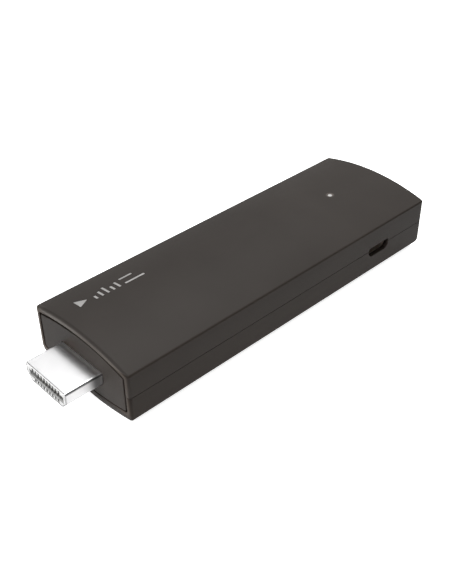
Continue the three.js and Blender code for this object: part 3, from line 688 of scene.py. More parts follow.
def casing_plastic():
    """The casing's charcoal plastic, with painted light and shade in its colour shares by place."""
    material = moulded(
        "casing_plastic", CASING_COLOUR, CASING_ROUGHNESS, Specular_IOR_Level=CASING_SPECULAR
    )
    tree = material.node_tree
    x, y, z = axes(tree)
    on_side = span(tree, z, CREASE_Z - CREASE_BLUR, CREASE_Z + CREASE_BLUR, 1.0, 0.0)
    on_top = span(tree, z, CREASE_Z - CREASE_BLUR, CREASE_Z + CREASE_BLUR, 0.0, 1.0)
    shares = (rim_share(tree, x, y, z), glow_share(tree), rear_share(tree, y, on_side, on_top))
    total = product(tree, height_share(tree, z), *shares)
    recolour(material, total, on_side, [(0.0, (1, 1, 1)), (1.0, SIDE_TINT)])
    return material


CASING = casing_plastic()

# ------------ the plate's colour by place, with painted light and shade
# PLATE_OVER_PLUG paints light on the plate above the plug and to its right, as in the photo.

PLATE_SHARE = 0.78  # of the casing's colour
# painted shade across the plate, darker towards its left
PLATE_ACROSS = [(-15.6, 0.52), (-7, 0.57), (0, 0.79), (8, 0.93), (15, 0.94)]
PLATE_ACROSS_TOP = 1.2
# painted light above the plug and to its right, by place across and by height
PLATE_OVER_PLUG = [
    (-6.6, 0.0), (-4.6, 0.85), (-1, 0.96), (2, 0.93),
    (5, 0.75), (8, 0.26), (11, 0.03), (13, 0.0),
]
PLATE_OVER_PLUG_TOP = 1.3
PLATE_UP = [
    (3.5, 0.0), (5, 0.2), (7, 0.8), (9, 1.0),
    (11, 1.0), (12, 0.8), (13, 0.58), (15, 0.55),
]
PLATE_LEAN = 0.9  # to the right for each millimetre up
PLATE_LEAN_START = 10
PLATE_TINT = [
    (0.0, (0.9, 0.76, 0.66)),
    (0.3, (0.92, 0.8, 0.72)),
    (0.5, (1, 1, 1)),
    (0.7, (1, 1, 1)),
    (1.0, (0.96, 0.9, 0.85)),
]


def stops_over(low, high, stops):
    """Stops given at places from low to high, as positions from 0 to 1."""
    return [((stop - low) / (high - low), share) for stop, share in stops]


def plate_share(tree, x, z):
    """Colour share over the plate, painted light and shade: by width, and more painted light above and
    right of the plug.
    """
    half = BODY_HALF
    across = span(tree, x, -half, half, 0.0, 1.0)
    up = span(tree, z, 0.0, BODY_HEIGHT, 0.0, 1.0)
    base = grey_ramp(tree, across, stops_over(-half, half, PLATE_ACROSS))
    shift = PLATE_LEAN * (BODY_HEIGHT - PLATE_LEAN_START) * MM
    lean = span(tree, z, PLATE_LEAN_START, BODY_HEIGHT, 0.0, shift)
    along = span(tree, maths(tree, "SUBTRACT", x, lean), -half, half, 0.0, 1.0)
    over = grey_ramp(tree, along, stops_over(-half, half, PLATE_OVER_PLUG))
    rise = grey_ramp(tree, up, stops_over(0, BODY_HEIGHT, PLATE_UP))
    extra = product(tree, over, PLATE_OVER_PLUG_TOP, rise)
    return maths(tree, "ADD", product(tree, base, PLATE_ACROSS_TOP), extra)


def plate_plastic():
    """The front plate's plastic, with painted light and shade in its colour shares by place."""
    colour = shade(CASING_COLOUR, PLATE_SHARE)
    material = moulded(
        "plate_plastic", colour, CASING_ROUGHNESS, Specular_IOR_Level=CASING_SPECULAR
    )
    tree = material.node_tree
    x, _, z = axes(tree)
    across = span(tree, x, -BODY_HALF, BODY_HALF, 0.0, 1.0)
    recolour(material, plate_share(tree, x, z), across, PLATE_TINT)
    return material


PLATE_PLASTIC = plate_plastic()

# ------------ the plug's colour by place, with painted reflection and shade
# The shares at the root stand in for part of the dark plate's reflection there.

PLATING_COLOUR = (0.97, 0.965, 0.97)
AWAY_FROM_ROOT_SHARE = 0.667  # of the plating's colour, away from the root's painted reflection
ROOT_REACH = 4  # how far out from the plate the root's painted reflection runs
ROOT_TOP = [
    (0.0, 1.5), (0.05, 1.5), (0.125, 1.15), (0.2, 0.92), (0.3, 0.69), (0.4, 0.54),
    (0.5, 0.57), (0.6, 0.72), (0.7, 0.87), (0.8, 0.93), (1.0, 1.0),
]
ROOT_SIDE = [
    (0.0, 0.75), (0.05, 0.71), (0.125, 0.56), (0.2, 0.45), (0.3, 0.4), (0.4, 0.35),
    (0.5, 0.42), (0.6, 0.59), (0.7, 0.76), (0.8, 0.9), (0.9, 1.0),
]
BEND_SHARE = 0.4  # painted reflection: the dark line along the bend at each side of the top
BEND_Z = PLUG_TOP_Z - PLUG_ROUND
BEND_BOTTOM = (0.0, 0.06)  # above BEND_Z
BEND_TOP = (0.36, 0.42)
BEND_IN = (PLUG_WIDTH / 2 - 0.26, PLUG_WIDTH / 2 - 0.18)
SIDE_START = PLUG_WIDTH / 2 - PLUG_ROUND / 3
SIDE_BLUR = 0.1
# painted shade on the tip's rolled edge, below the top's bends
TIP_EDGE = 0.3
TIP_SHARE = 0.3
# painted shade on the plug's sides, darker towards the tip
FADE_REACH = 4
FADE_SHARE = 0.8


def root_share(tree, y, on_side):
    """Colour share of the plug out from the plate, apart on its top and its sides: the root's painted
    reflection.
    """
    out = span(tree, y, PLATE_Y, PLATE_Y - ROOT_REACH, 0.0, 1.0)
    top = grey_ramp(tree, out, [(stop, share * AWAY_FROM_ROOT_SHARE) for stop, share in ROOT_TOP])
    side = grey_ramp(tree, out, [(stop, share * AWAY_FROM_ROOT_SHARE) for stop, share in ROOT_SIDE])
    return mix(tree, on_side, top, side)


def bend_share(tree, size, z):
    """Colour share that paints a dark reflection in the thin line along each long bend of the plug."""
    under = span(tree, z, BEND_Z + BEND_BOTTOM[0], BEND_Z + BEND_BOTTOM[1], 0.0, 1.0)
    over = span(tree, z, BEND_Z + BEND_TOP[0], BEND_Z + BEND_TOP[1], 1.0, 0.0)
    bend = span(tree, size, *BEND_IN, 0.0, 1.0)
    return spread(tree, product(tree, under, over, bend), 0.0, 1.0, 1.0, BEND_SHARE)


def plug_plating():
    """Nickel plating, with painted reflection and shade in its colour shares by place."""
    material = metal(
        "plug_plating", PLATING_COLOUR, 0.4, grain=(9000, 400, 9000), depth=0.0004, variation=0.03
    )
    tree = material.node_tree
    x, y, z = axes(tree)
    size = maths(tree, "ABSOLUTE", x)
    on_side = span(tree, size, SIDE_START, SIDE_START + SIDE_BLUR, 0.0, 1.0)
    tip = span(tree, y, TIP_Y, TIP_Y + TIP_EDGE, TIP_SHARE, 1.0)
    below = span(tree, z, BEND_Z - SIDE_BLUR, BEND_Z + SIDE_BLUR, 1.0, 0.0)
    faded = span(tree, y, TIP_Y, TIP_Y + FADE_REACH, FADE_SHARE, 1.0)
    edges = (bend_share(tree, size, z), blend(tree, below, tip), blend(tree, on_side, faded))
    recolour(material, product(tree, root_share(tree, y, on_side), *edges))
    return material


PLATING = plug_plating()

DEEP_SHARE = 0.45  # of the resin's colour: painted shade down in the slot
DEEP_START = (0.03, 0.06)  # behind the moulding's face
FLOOR_DEEP_START = (0.34, 0.44)  # the same, on the slot's floor
FLOOR_BAND = 0.03


def plug_moulding():
    """Pale resin on the face of the plug's moulding, with painted shade down its slot and channels."""
    material = moulded("plug_moulding", (0.50, 0.50, 0.495), 0.5, variation=0.02)
    tree = material.node_tree
    _, y, z = axes(tree)
    mouth = MOULDING_LOW.y
    near, far = DEEP_START
    inside = span(tree, y, mouth + near, mouth + far, 1.0, DEEP_SHARE)
    near, far = FLOOR_DEEP_START
    on_floor = span(tree, y, mouth + near, mouth + far, 1.0, DEEP_SHARE)
    floor = (PLUG_MID_Z - TONGUE_SLOT_HEIGHT / 2) * MM
    level = maths(tree, "COMPARE", z, floor, FLOOR_BAND * MM)
    recolour(material, mix(tree, level, inside, on_floor))
    return material


MOULDING = plug_moulding()
GOLD = metal("contact_gold", (0.62, 0.56, 0.44), 0.35)
SOCKET_METAL = metal("socket_metal", (0.50, 0.45, 0.41), 0.4)
SOCKET_MOULDING = moulded("socket_moulding", (0.18, 0.15, 0.13), 0.5)
LAMINATE = moulded("board_laminate", (0.010, 0.065, 0.034), 0.4, grain=2500, depth=0.006, variation=0.2)
CHIP = moulded("chip_resin", (0.014, 0.014, 0.015), 0.55, grain=4000)
TINNED = metal("tinned_metal", (0.55, 0.56, 0.57), 0.35)
ANTENNA_METAL = metal("antenna_metal", (0.72, 0.70, 0.66), 0.25)
SPREADER = metal("spreader_metal", (0.52, 0.53, 0.55), 0.45, grain=(200, 3000, 3000))
FERRITE = moulded("ferrite", (0.045, 0.045, 0.048), 0.75, grain=3500, depth=0.012)
CERAMIC = moulded("chip_ceramic", (0.26, 0.17, 0.10), 0.55, grain=3000)
SILICONE = moulded("thermal_silicone", (0.27, 0.32, 0.38), 0.85, grain=1500, depth=0.02)
LED_RESIN = moulded("led_resin", (0.86, 0.86, 0.82), 0.3)
LABEL_FILM = moulded("label_film", (0.052, 0.050, 0.048), 0.42, grain=1800, depth=0.002)
SCREW_STEEL = metal("screw_steel", (0.42, 0.42, 0.43), 0.35)
MARK_INK = metal("mark_ink", (0.50, 0.49, 0.48), 0.45, grain=4000)


PIPE_EMISSION = 0.15


def clear_resin():
    """The light pipe: pale resin that glows a little, as if lit from below."""
    material, node = shader("clear_resin", (0.34, 0.335, 0.33), 0.35)
    tree = material.node_tree
    cloud = noise(tree, 900, detail=1)
    glow = ramp(tree, cloud, [(0.2, (0.95, 0.93, 0.90)), (0.8, (1.0, 0.98, 0.96))])
    tree.links.new(glow, node.inputs["Emission Color"])
    node.inputs["Emission Strength"].default_value = PIPE_EMISSION
    return material


CLEAR_RESIN = clear_resin()

SLOT_MATERIALS = {
    "casing_plastic": CASING,
    "plug_plating": PLATING,
    "plug_moulding": MOULDING,
    "contact_gold": GOLD,
    "socket_metal": SOCKET_METAL,
    "socket_moulding": SOCKET_MOULDING,
    "board_laminate": LAMINATE,
    "chip_resin": CHIP,
    "tinned_metal": TINNED,
    "antenna_metal": ANTENNA_METAL,
    "spreader_metal": SPREADER,
    "ferrite": FERRITE,
    "chip_ceramic": CERAMIC,
    "thermal_silicone": SILICONE,
    "clear_resin": CLEAR_RESIN,
    "led_resin": LED_RESIN,
    "label_film": LABEL_FILM,
    "screw_steel": SCREW_STEEL,
}


def dress_cad_nodes():
    for row in frame["record"]["subparts"]:
        node = frame["nodes"][row["node"]]
        node.data.materials.clear()
        node.data.materials.append(SLOT_MATERIALS[row["material_slot"]])


# ------------ casing


def casing_core(inset):
    """The two end rings of the casing drawn in by inset."""
    loop = casing_section(inset, inset, inset, INNER_ROUND, BELLY_ROUND - inset)
    return [along_y(y, loop) for y in (FRONT_Y + inset, REAR_Y - inset)]


def front_rings():
    """The casing's rolled front and its drawn-in chin."""
    rings = []
    travels = sorted({*quarter_steps(FRONT_ROLL, 6), *quarter_steps(CHIN_SETBACK, 8)})
    for travel in travels:
        roll = rolled(FRONT_ROLL, FRONT_ROLL, travel)
        chin = rolled(CHIN_HEIGHT, CHIN_SETBACK, travel)
        loop = casing_section(roll, roll, chin, TOP_ROUND, BELLY_ROUND)
        rings.append(along_y(FRONT_Y + travel, loop))
    return rings


def rear_rings():
    """The casing's rolled closed end."""
    rings = []
    steps = {*quarter_steps(REAR_BELLY_ROLL, 8), *quarter_steps(REAR_SIDE_ROLL, 6)}
    for travel in sorted(steps, reverse=True):
        side = rolled(REAR_SIDE_ROLL, REAR_SIDE_ROLL, travel)
        top = rolled(REAR_TOP_ROLL, REAR_TOP_ROLL, travel)
        belly = rolled(REAR_BELLY_ROLL, REAR_BELLY_ROLL, travel)
        loop = casing_section(side, top, belly, TOP_ROUND, BELLY_ROUND)
        rings.append(along_y(REAR_Y - travel, loop))
    return rings


def casing_rings():
    """Rings of the whole casing, with rolled ends."""
    start = FRONT_Y + CHIN_SETBACK
    end = REAR_Y - REAR_BELLY_ROLL
    full = casing_section(0, 0, 0, TOP_ROUND, BELLY_ROUND)
    middle = []
    for i in range(1, CASING_SPANS):
        middle.append(along_y(start + (end - start) * i / CASING_SPANS, full))
    return front_rings() + middle + rear_rings()


def half_space(side):
    """The space above (side 1) or below (side -1) the seam, its edge chamfered on the outside."""
    edge = PARTING_Z + side * SEAM / 2
    beyond = PARTING_Z + side * (BODY_HEIGHT + BEYOND)
    facet = SEAM_CHAMFER * SEAM_FACET
    rings = [
        plan_loop(SEAM_CHAMFER, edge),
        plan_loop(facet, edge + side * facet),
        plan_loop(-SEAM_OUTSIDE, edge + side * SEAM_CHAMFER),
        plan_loop(-BEYOND, edge + side * (SEAM_CHAMFER + SEAM_STEP)),
        plan_loop(-BEYOND, beyond),
    ]
    return lofted("half_space", rings)


def plate_section(margin, foot_margin=None):
    foot = CHIN_HEIGHT + (margin if foot_margin is None else foot_margin)
    return casing_section(RIM_SIDE + margin, RIM_TOP + margin, foot, RIM_TOP_ROUND, RIM_FOOT_ROUND)


def rim_cutter():
    """What the front plate's pocket takes out, with a flared mouth that chamfers the rim."""
    rings = [along_y(FRONT_Y - BEYOND, plate_section(-RIM_CHAMFER))]
    for travel in quarter_steps(RIM_CHAMFER, 4):
        flare = rolled(RIM_CHAMFER, RIM_CHAMFER, travel)
        rings.append(along_y(FRONT_Y + travel, plate_section(-flare)))
    rings.append(along_y(SHOULDER_Y + POCKET_OVERCUT, plate_section(0)))
    return lofted("rim_cutter", rings)


def port_loop(margin):
    half = PORT_WIDTH / 2 + margin
    top = PORT_Z + PORT_HEIGHT / 2 + margin
    foot = PORT_Z - PORT_HEIGHT / 2 - margin
    corners = [
        (PORT_Y + half, top),
        (PORT_Y - half, top),
        (PORT_Y - half, foot + PORT_BEVEL),
        (PORT_Y - half + PORT_BEVEL, foot),
        (PORT_Y + half - PORT_BEVEL, foot),
        (PORT_Y + half, foot + PORT_BEVEL),
    ]
    return rounded([(y, z, PORT_ROUND) for y, z in corners])


def port_cutter():
    rings = [along_x(PORT_MOUTH_X - PORT_CUT_DEPTH, port_loop(PORT_SLACK))]
    for travel in reversed(quarter_steps(PORT_CHAMFER, 3)):
        flare = rolled(PORT_CHAMFER, PORT_CHAMFER, travel)
        rings.append(along_x(BODY_HALF - travel, port_loop(flare + PORT_SLACK)))
    rings.append(along_x(BODY_HALF + BEYOND, port_loop(PORT_CHAMFER + PORT_SLACK)))
    return lofted("port_cutter", rings)


def ring_at(radius, z):
    circle = arc((0, 0), radius, 0, 360, ROUND_STEPS)[:-1]
    return [(x, LIGHT_Y + y, z) for x, y in circle]


def light_cutter():
    hole = LIGHT_RADIUS + LIGHT_HOLE_GAP
    mouth = hole + LIGHT_CHAMFER
    profile = [
        (hole, BODY_HEIGHT - LIGHT_CUT_DEPTH),
        (hole, BODY_HEIGHT - LIGHT_CHAMFER),
        (mouth, BODY_HEIGHT),
        (mouth, BODY_HEIGHT + CLEAR),
    ]
    return lofted("light_cutter", [ring_at(radius, z) for radius, z in profile])


def rectangle(half_width, half_length, centre=(0, 0)):
    """The corners of a rectangle, anticlockwise from its low right."""
    x, y = centre
    return [
        (x + half_width, y - half_length),
        (x + half_width, y + half_length),
        (x - half_width, y + half_length),
        (x - half_width, y - half_length),
    ]


def label_loop(margin, z):
    length = (LABEL_HIGH.y - LABEL_LOW.y) / 2 + margin
    corners = rectangle(LABEL_HIGH.x + margin, length, (0, LABEL_Y))
    return [(x, y, z) for x, y in rounded([(x, y, LABEL_CORNER) for x, y in corners])]


def label_cutter():
    loops = [label_loop(RECESS_MARGIN, z) for z in (-CLEAR, RECESS_DEPTH)]
    return lofted("label_cutter", loops)


def cover(name, node, side):
    """One cover: a fine outer layer over the CAD cover's inside."""
    skin = cut(lofted(name, casing_rings()), lofted("hollow", casing_core(SKIN)))
    common(skin, half_space(side))
    inside = common(copied("inside", node), lofted("core", casing_core(SKIN - SKIN_OVERLAP)))
    joined(skin, inside)
    cut(skin, rim_cutter(), port_cutter())
    cut(skin, light_cutter() if side > 0 else label_cutter())
    return finished(smoothed(skin), CASING, "casing_plastic", node)


def plug_loop(inset):
    half = PLUG_WIDTH / 2 - inset
    top = PLUG_TOP_Z - inset
    foot = PLUG_FOOT_Z + inset
    bend = PLUG_TOP_Z - PLUG_UPRIGHT
    corner = max(PLUG_ROUND - inset, PLUG_TOP_ROUND_LEAST)
    low = max(PLUG_ROUND - inset, PLUG_LOW_ROUND_LEAST)
    return rounded(
        [
            (half, top, corner),
            (-half, top, corner),
            (-half, bend, low),
            (-PLUG_FOOT_HALF, foot, low),
            (PLUG_FOOT_HALF, foot, low),
            (half, bend, low),
        ]
    )


def plate_slot():
    """What the plug's slot takes out of the plate, with a flared mouth."""
    rings = [along_y(PLATE_Y - CLEAR, plug_loop(-SLOT_GAP - SLOT_CHAMFER))]
    for travel in quarter_steps(SLOT_CHAMFER, 3):
        flare = rolled(SLOT_CHAMFER, SLOT_CHAMFER, travel)
        rings.append(along_y(PLATE_Y + travel, plug_loop(-SLOT_GAP - flare)))
    rings.append(along_y(SHOULDER_Y + CLEAR, plug_loop(-SLOT_GAP)))
    return lofted("slot", rings)


def front_plate():
    """The plate, its face standing forward of the shallow channel round it."""
    rings = []
    for travel in quarter_steps(PLATE_EDGE, 4):
        roll = rolled(PLATE_EDGE, PLATE_EDGE, travel)
        rings.append(along_y(PLATE_Y + travel, plate_section(GROOVE + roll, PLATE_FIT + roll)))
    channel = FRONT_Y + GROOVE_DEPTH
    rings.append(along_y(channel, plate_section(GROOVE, PLATE_FIT)))
    rings.append(along_y(channel + GROOVE_STEP, plate_section(PLATE_FIT)))
    rings.append(along_y(SHOULDER_Y, plate_section(PLATE_FIT)))
    plate = cut(lofted("plug_face_plate", rings), plate_slot())
    return finished(smoothed(plate), PLATE_PLASTIC, "casing_plastic", "front_plate")


def light_guide():
    """The clear pipe, with a slightly domed end flush with the crown."""
    rod = LIGHT_RADIUS - PIPE_GAP
    collar_foot = COLLAR_TOP_Z - COLLAR_HEIGHT
    profile = [
        (PIPE_FOOT_RADIUS, PIPE_LOW.z),
        (PIPE_FOOT_RADIUS, collar_foot - COLLAR_STEP),
        (COLLAR_RADIUS, collar_foot),
        (COLLAR_RADIUS, COLLAR_TOP_Z),
        (rod, COLLAR_TOP_Z),
    ]
    dome_foot = PIPE_HIGH.z - DOME_RISE
    for k in range(DOME_POINTS):
        angle = math.pi / 2 * k / DOME_QUARTER
        profile.append((rod * math.cos(angle), dome_foot + DOME_RISE * math.sin(angle)))
    pipe = lofted("light_guide", [ring_at(radius, z) for radius, z in profile])
    return finished(smoothed(pipe), CLEAR_RESIN, "clear_resin", "light_pipe")


def underside_label():
    rings = [
        label_loop(-LABEL_EDGE, LABEL_LOW.z),
        label_loop(0, LABEL_LOW.z + LABEL_EDGE),
        label_loop(0, LABEL_HIGH.z),
    ]
    return finished(smoothed(lofted("blank_label", rings)), LABEL_FILM, "label_film", "rating_label")


# ------------ HDMI plug


def shell_outside():
    """The plug's outside: rolled tip, then a neck drawn in behind the plate's face."""
    rings = []
    for travel in quarter_steps(TIP_ROLL, 4):
        rings.append(along_y(TIP_Y + travel, plug_loop(rolled(TIP_ROLL, TIP_ROLL, travel))))
    neck = PLATE_Y - NECK_SETBACK
    rings.append(along_y(neck - NECK_STEP, plug_loop(0)))
    rings.append(along_y(neck, plug_loop(NECK_INSET)))
    rings.append(along_y(PLUG_REAR_Y, plug_loop(NECK_INSET)))
    return lofted("plug_shell", rings)


def flange():
    half_height = (SHELL_HIGH.z - SHELL_LOW.z) / 2
    corners = rectangle(SHELL_HIGH.x, half_height, (0, PLUG_MID_Z))
    loop = rounded([(x, z, FLANGE_ROUND) for x, z in corners])
    start = SHOULDER_Y + FLANGE_GAP
    return lofted("flange", [along_y(y, loop) for y in (start, start + FLANGE_THICKNESS)])


def shell_bore():
    rings = [along_y(TIP_Y - CLEAR, plug_loop(PLUG_SHEET - MOUTH_CHAMFER))]
    for travel in quarter_steps(MOUTH_CHAMFER, 3):
        flare = rolled(MOUTH_CHAMFER, MOUTH_CHAMFER, travel)
        rings.append(along_y(TIP_Y + travel, plug_loop(PLUG_SHEET - flare)))
    rings.append(along_y(PLUG_REAR_Y + CLEAR, plug_loop(PLUG_SHEET)))
    return lofted("bore", rings)


def latch_window(side):
    centre = (side * LATCH_X, TIP_Y + LATCH_REACH)
    corners = rectangle(LATCH_HALF_WIDTH, LATCH_HALF_LENGTH, centre)
    loop = rounded([(x, y, LATCH_ROUND) for x, y in corners])
    heights = (PLUG_FOOT_Z - CLEAR, PLUG_FOOT_Z + LATCH_CUT_RISE)
    return lofted("window", [[(x, y, z) for x, y in loop] for z in heights])


def plug_shell():
    """Stamped shell: rolled tip, flange behind the plate, two latch windows underneath."""
    shell = joined(shell_outside(), flange())
    cut(shell, shell_bore(), *[latch_window(side) for side in (-1, 1)])
    return finished(smoothed(shell), PLATING, "plug_plating", "hdmi_shell")


def tongue_slot():
    """The slot for the socket's tongue, flared at its mouth."""
    mouth = MOULDING_LOW.y
    places = (
        (mouth - CLEAR, SLOT_FLARE),
        (mouth, SLOT_FLARE),
        (mouth + SLOT_FLARE_DEPTH, 0),
        (mouth + TONGUE_SLOT_DEPTH, 0),
    )
    rings = []
    for y, flare in places:
        wide = TONGUE_SLOT_HALF + flare
        tall = TONGUE_SLOT_HEIGHT / 2 + flare
        corners = rectangle(wide, tall, (0, PLUG_MID_Z))
        rings.append(along_y(y, rounded([(x, z, TONGUE_SLOT_ROUND) for x, z in corners], 4)))
    return lofted("slot", rings)


def channel_box(name, x, half, span_y, span_z):
    low = (x - half, span_y[0], span_z[0])
    high = (x + half, span_y[1], span_z[1])
    return box(name, low, high)


def upper_channel(x):
    """An upper contact's channel, with the lead at its mouth."""
    mouth = MOULDING_LOW.y
    near = PLUG_MID_Z + (TONGUE_SLOT_HEIGHT / 2 - CHANNEL_OVERLAP)
    far = PLUG_MID_Z + (TONGUE_SLOT_HEIGHT / 2 + CHANNEL_DEPTH)
    whole = (mouth - CLEAR, MOULDING_HIGH.y + CLEAR)
    face = (mouth - CLEAR, mouth + LEAD_DEPTH)
    return [
        channel_box("channel", x, CHANNEL_HALF, whole, (near, far)),
        channel_box("lead", x, LEAD_HALF, face, (near, far + LEAD_RISE)),
    ]


def lower_channel(x):
    """A lower contact's channel, with the window and lead under its bridged mouth."""
    mouth = MOULDING_LOW.y
    near = PLUG_MID_Z - (TONGUE_SLOT_HEIGHT / 2 - CHANNEL_OVERLAP)
    far = PLUG_MID_Z - (TONGUE_SLOT_HEIGHT / 2 + CHANNEL_DEPTH)
    behind = (mouth + CHANNEL_LIP, MOULDING_HIGH.y + CLEAR)
    under = (mouth - CLEAR, mouth + CHANNEL_LIP + WINDOW_OVERLAP)
    face = (mouth - CLEAR, mouth + LEAD_DEPTH)
    return [
        channel_box("channel", x, CHANNEL_HALF, behind, (far, near)),
        channel_box("window", x, CHANNEL_HALF, under, (far, near - WINDOW_DROP)),
        channel_box("lead", x, LEAD_HALF, face, (far - LEAD_RISE, near - LEAD_DROP)),
    ]


def plug_core():
    """The pale moulding: tongue slot and a channel for every contact."""
    inset = PLUG_SHEET + MOULDING_INSET
    mouth = MOULDING_LOW.y
    rings = [
        along_y(mouth, plug_loop(inset + MOULDING_CHAMFER)),
        along_y(mouth + MOULDING_CHAMFER, plug_loop(inset)),
        along_y(MOULDING_HIGH.y, plug_loop(inset)),
    ]
    tools = [tongue_slot()]
    for count, channel in ((UPPER_CONTACTS, upper_channel), (LOWER_CONTACTS, lower_channel)):
        for i in range(count):
            tools += channel(i - (count - 1) / 2)
    core = cut(lofted("plug_core", rings), *tools)
    return finished(smoothed(core), MOULDING, "plug_moulding", "hdmi_moulding")


# ------------ printed mark

MARK_X = -7.8  # middle of the printed band, across
MARK_TALL = 2.8
MARK_START_Y = FRONT_Y + 5.4
MARK_LIFT = 0.012
MARK_SINK = 0.03
MARK_STROKE = 0.5
MARK_ROUND = 0.08
TRIANGLE_LENGTH = 2.6
TRIANGLE_ROUND = 0.15
BAR_START = 4.1
BAR_STEP = 1.5
BAR_SHARES = (0.45, 0.75, 1.0, 0.6, 0.85)  # of the mark's height
LINE_START = 11.8
LINE_LENGTHS = (5.2, 3.4)


def crown_z(x):
    return TOP_CENTRE_Z + math.sqrt(TOP_RADIUS**2 - x**2)


def printed(name, loop):
    """A flat printed shape laid on the crown: loop holds (along, up) points of the mark."""

    def build(bm):
        base = [bm.verts.new((MARK_X - up, MARK_START_Y + along, 0)) for along, up in loop]
        face = bm.faces.new(base)
        bmesh.ops.triangulate(bm, faces=[face])
        bmesh.ops.subdivide_edges(bm, edges=bm.edges, cuts=2, use_grid_fill=True)
        whole = bmesh.ops.extrude_face_region(bm, geom=list(bm.faces))
        raised = {v for v in whole["geom"] if isinstance(v, bmesh.types.BMVert)}
        for vert in bm.verts:
            lift = MARK_LIFT if vert in raised else -MARK_SINK
            vert.co.z = crown_z(vert.co.x) + lift

    return finished(smoothed(made(name, build)), MARK_INK, "plug_plating")


def bar_loop(along, width, up, tall):
    corners = [(along, up), (along + width, up), (along + width, up + tall), (along, up + tall)]
    return rounded([(x, y, MARK_ROUND) for x, y in corners], 3)


def printed_mark():
    """A plain triangle, five bars and two lines, which stand for no maker."""
    half = MARK_TALL / 2
    corners = [(0, -half), (TRIANGLE_LENGTH, 0), (0, half)]
    printed("mark_triangle", rounded([(x, y, TRIANGLE_ROUND) for x, y in corners], 4))
    for i, share in enumerate(BAR_SHARES):
        loop = bar_loop(BAR_START + BAR_STEP * i, MARK_STROKE, -half, MARK_TALL * share)
        printed(f"mark_bar_{i + 1}", loop)
    for i, (length, up) in enumerate(zip(LINE_LENGTHS, (-half, half - MARK_STROKE))):
        printed(f"mark_line_{i + 1}", bar_loop(LINE_START, length, up, MARK_STROKE))


# ------------ stage, camera and light

CAMERA_AZIMUTH = 47.02
CAMERA_ELEVATION = 36.97
CAMERA_ROLL = -0.68
CAMERA_DISTANCE = 0.2019
CAMERA_AIM = Vector((0.00046, -0.00214, 0.00515))
CAMERA_LENS = 54.07
SENSOR_WIDTH = 36
CLIP_START = 0.01

FLOOR_HALF = 4.0
FLOOR_DROP = 0.00002
WALL_LIGHT = 0.7
SIDE_WALL_LIGHT = 0.12
CEILING_LIGHT = 0.5
HORIZON_SHARE = 0.4
SIDE_WALL_BAND = (0.2, 0.5)  # how far to the side the walls darken
HORIZON_BAND = (0.2, 0.5)  # heights over which the walls brighten
CEILING_BAND = (0.7, 0.9)
FLOOR_GLOW = 0.95  # the floor shines nearly white by itself, which hides its shadows


def heading(azimuth, elevation):
    """Unit vector from the object towards a place seen at that azimuth and elevation."""
    a, e = math.radians(azimuth), math.radians(elevation)
    return Vector((math.sin(a) * math.cos(e), -math.cos(a) * math.cos(e), math.sin(e)))


def add_camera():
    data = bpy.data.cameras.new("camera")
    data.lens = CAMERA_LENS
    data.sensor_width = SENSOR_WIDTH
    data.clip_start = CLIP_START
    camera = bpy.data.objects.new("camera", data)
    bpy.context.scene.collection.objects.link(camera)
    back = heading(CAMERA_AZIMUTH, CAMERA_ELEVATION)
    right = Vector((0, 0, 1)).cross(back).normalized()
    up = back.cross(right)
    roll = math.radians(CAMERA_ROLL)
    turned_right = right * math.cos(roll) + up * math.sin(roll)
    turned_up = back.cross(turned_right)
    pose = Matrix((turned_right, turned_up, back)).transposed().to_4x4()
    pose.translation = CAMERA_AIM + back * CAMERA_DISTANCE
    camera.matrix_world = pose
    bpy.context.scene.camera = camera


def add_floor():
    floor_z = CAD_BOUNDS[0][2] - FLOOR_DROP
    mesh = bpy.data.meshes.new("floor")
    corners = [(x, y, floor_z) for x, y in rectangle(FLOOR_HALF, FLOOR_HALF)]
    mesh.from_pydata(corners, [], [(0, 1, 2, 3)])
    floor = bpy.data.objects.new("floor", mesh)
    bpy.context.scene.collection.objects.link(floor)
    material, node = shader("floor_paper", (0.90, 0.90, 0.90), 0.9, Specular_IOR_Level=0.1)
    tree = material.node_tree
    tone = ramp(tree, noise(tree, 3), [(0.3, (0.895, 0.895, 0.895)), (0.7, (0.905, 0.905, 0.905))])
    tree.links.new(tone, node.inputs["Base Color"])
    tree.links.new(tone, node.inputs["Emission Color"])
    node.inputs["Emission Strength"].default_value = FLOOR_GLOW
    mesh.materials.append(material)


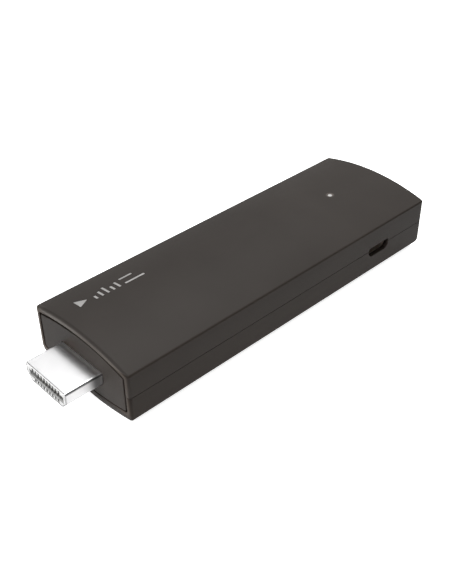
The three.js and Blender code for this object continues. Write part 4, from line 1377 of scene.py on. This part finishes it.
def add_light(name, azimuth, elevation, distance, size, power):
    data = bpy.data.lights.new(name, "AREA")
    data.shape = "DISK"
    data.size = size
    data.energy = power
    light = bpy.data.objects.new(name, data)
    bpy.context.scene.collection.objects.link(light)
    towards = heading(azimuth, elevation)
    light.location = towards * distance
    light.rotation_mode = "QUATERNION"
    light.rotation_quaternion = towards.to_track_quat("Z", "Y")


def add_world():
    """A grey room whose two side walls, right and left of the camera's line, are darker."""
    world = bpy.data.worlds.new("studio")
    world.use_nodes = True
    tree = world.node_tree
    background = tree.nodes["Background"]
    source = tree.nodes.new("ShaderNodeTexCoord")
    split = tree.nodes.new("ShaderNodeSeparateXYZ")
    tree.links.new(source.outputs["Generated"], split.inputs["Vector"])
    lean = tree.nodes.new("ShaderNodeVectorMath")
    lean.operation = "DOT_PRODUCT"
    turn = math.radians(CAMERA_AZIMUTH)
    lean.inputs[1].default_value = (math.cos(turn), math.sin(turn), 0)
    tree.links.new(source.outputs["Generated"], lean.inputs[0])
    offside = maths(tree, "ABSOLUTE", lean.outputs["Value"])
    stops = list(zip(SIDE_WALL_BAND, (WALL_LIGHT, SIDE_WALL_LIGHT)))
    across = grey_ramp(tree, offside, stops)
    low = spread(tree, split.outputs["Z"], *HORIZON_BAND, HORIZON_SHARE, 1.0)
    walls = scaled(tree, across, low)
    overhead = grey_ramp(tree, split.outputs["Z"], list(zip(CEILING_BAND, (0.0, 1.0))))
    mixer = tree.nodes.new("ShaderNodeMix")
    mixer.data_type = "RGBA"
    tree.links.new(overhead, mixer.inputs["Factor"])
    tree.links.new(walls, mixer.inputs["A"])
    mixer.inputs["B"].default_value = (*(CEILING_LIGHT,) * 3, 1)
    tree.links.new(mixer.outputs["Result"], background.inputs["Color"])
    background.inputs["Strength"].default_value = 1.0
    bpy.context.scene.world = world


def set_view():
    settings = bpy.context.scene.view_settings
    settings.view_transform = "Standard"
    settings.look = "None"
    settings.exposure = 0
    settings.gamma = 1


add_camera()
add_floor()
add_world()
add_light("key_light", azimuth=14, elevation=50, distance=0.8, size=0.5, power=4.0)
add_light("back_light", azimuth=-133, elevation=68, distance=0.8, size=0.3, power=4.5)
set_view()
dress_cad_nodes()
cover("casing_top", "top_cover", 1)
cover("casing_bottom", "bottom_cover", -1)
front_plate()
light_guide()
underside_label()
plug_shell()
plug_core()
printed_mark()
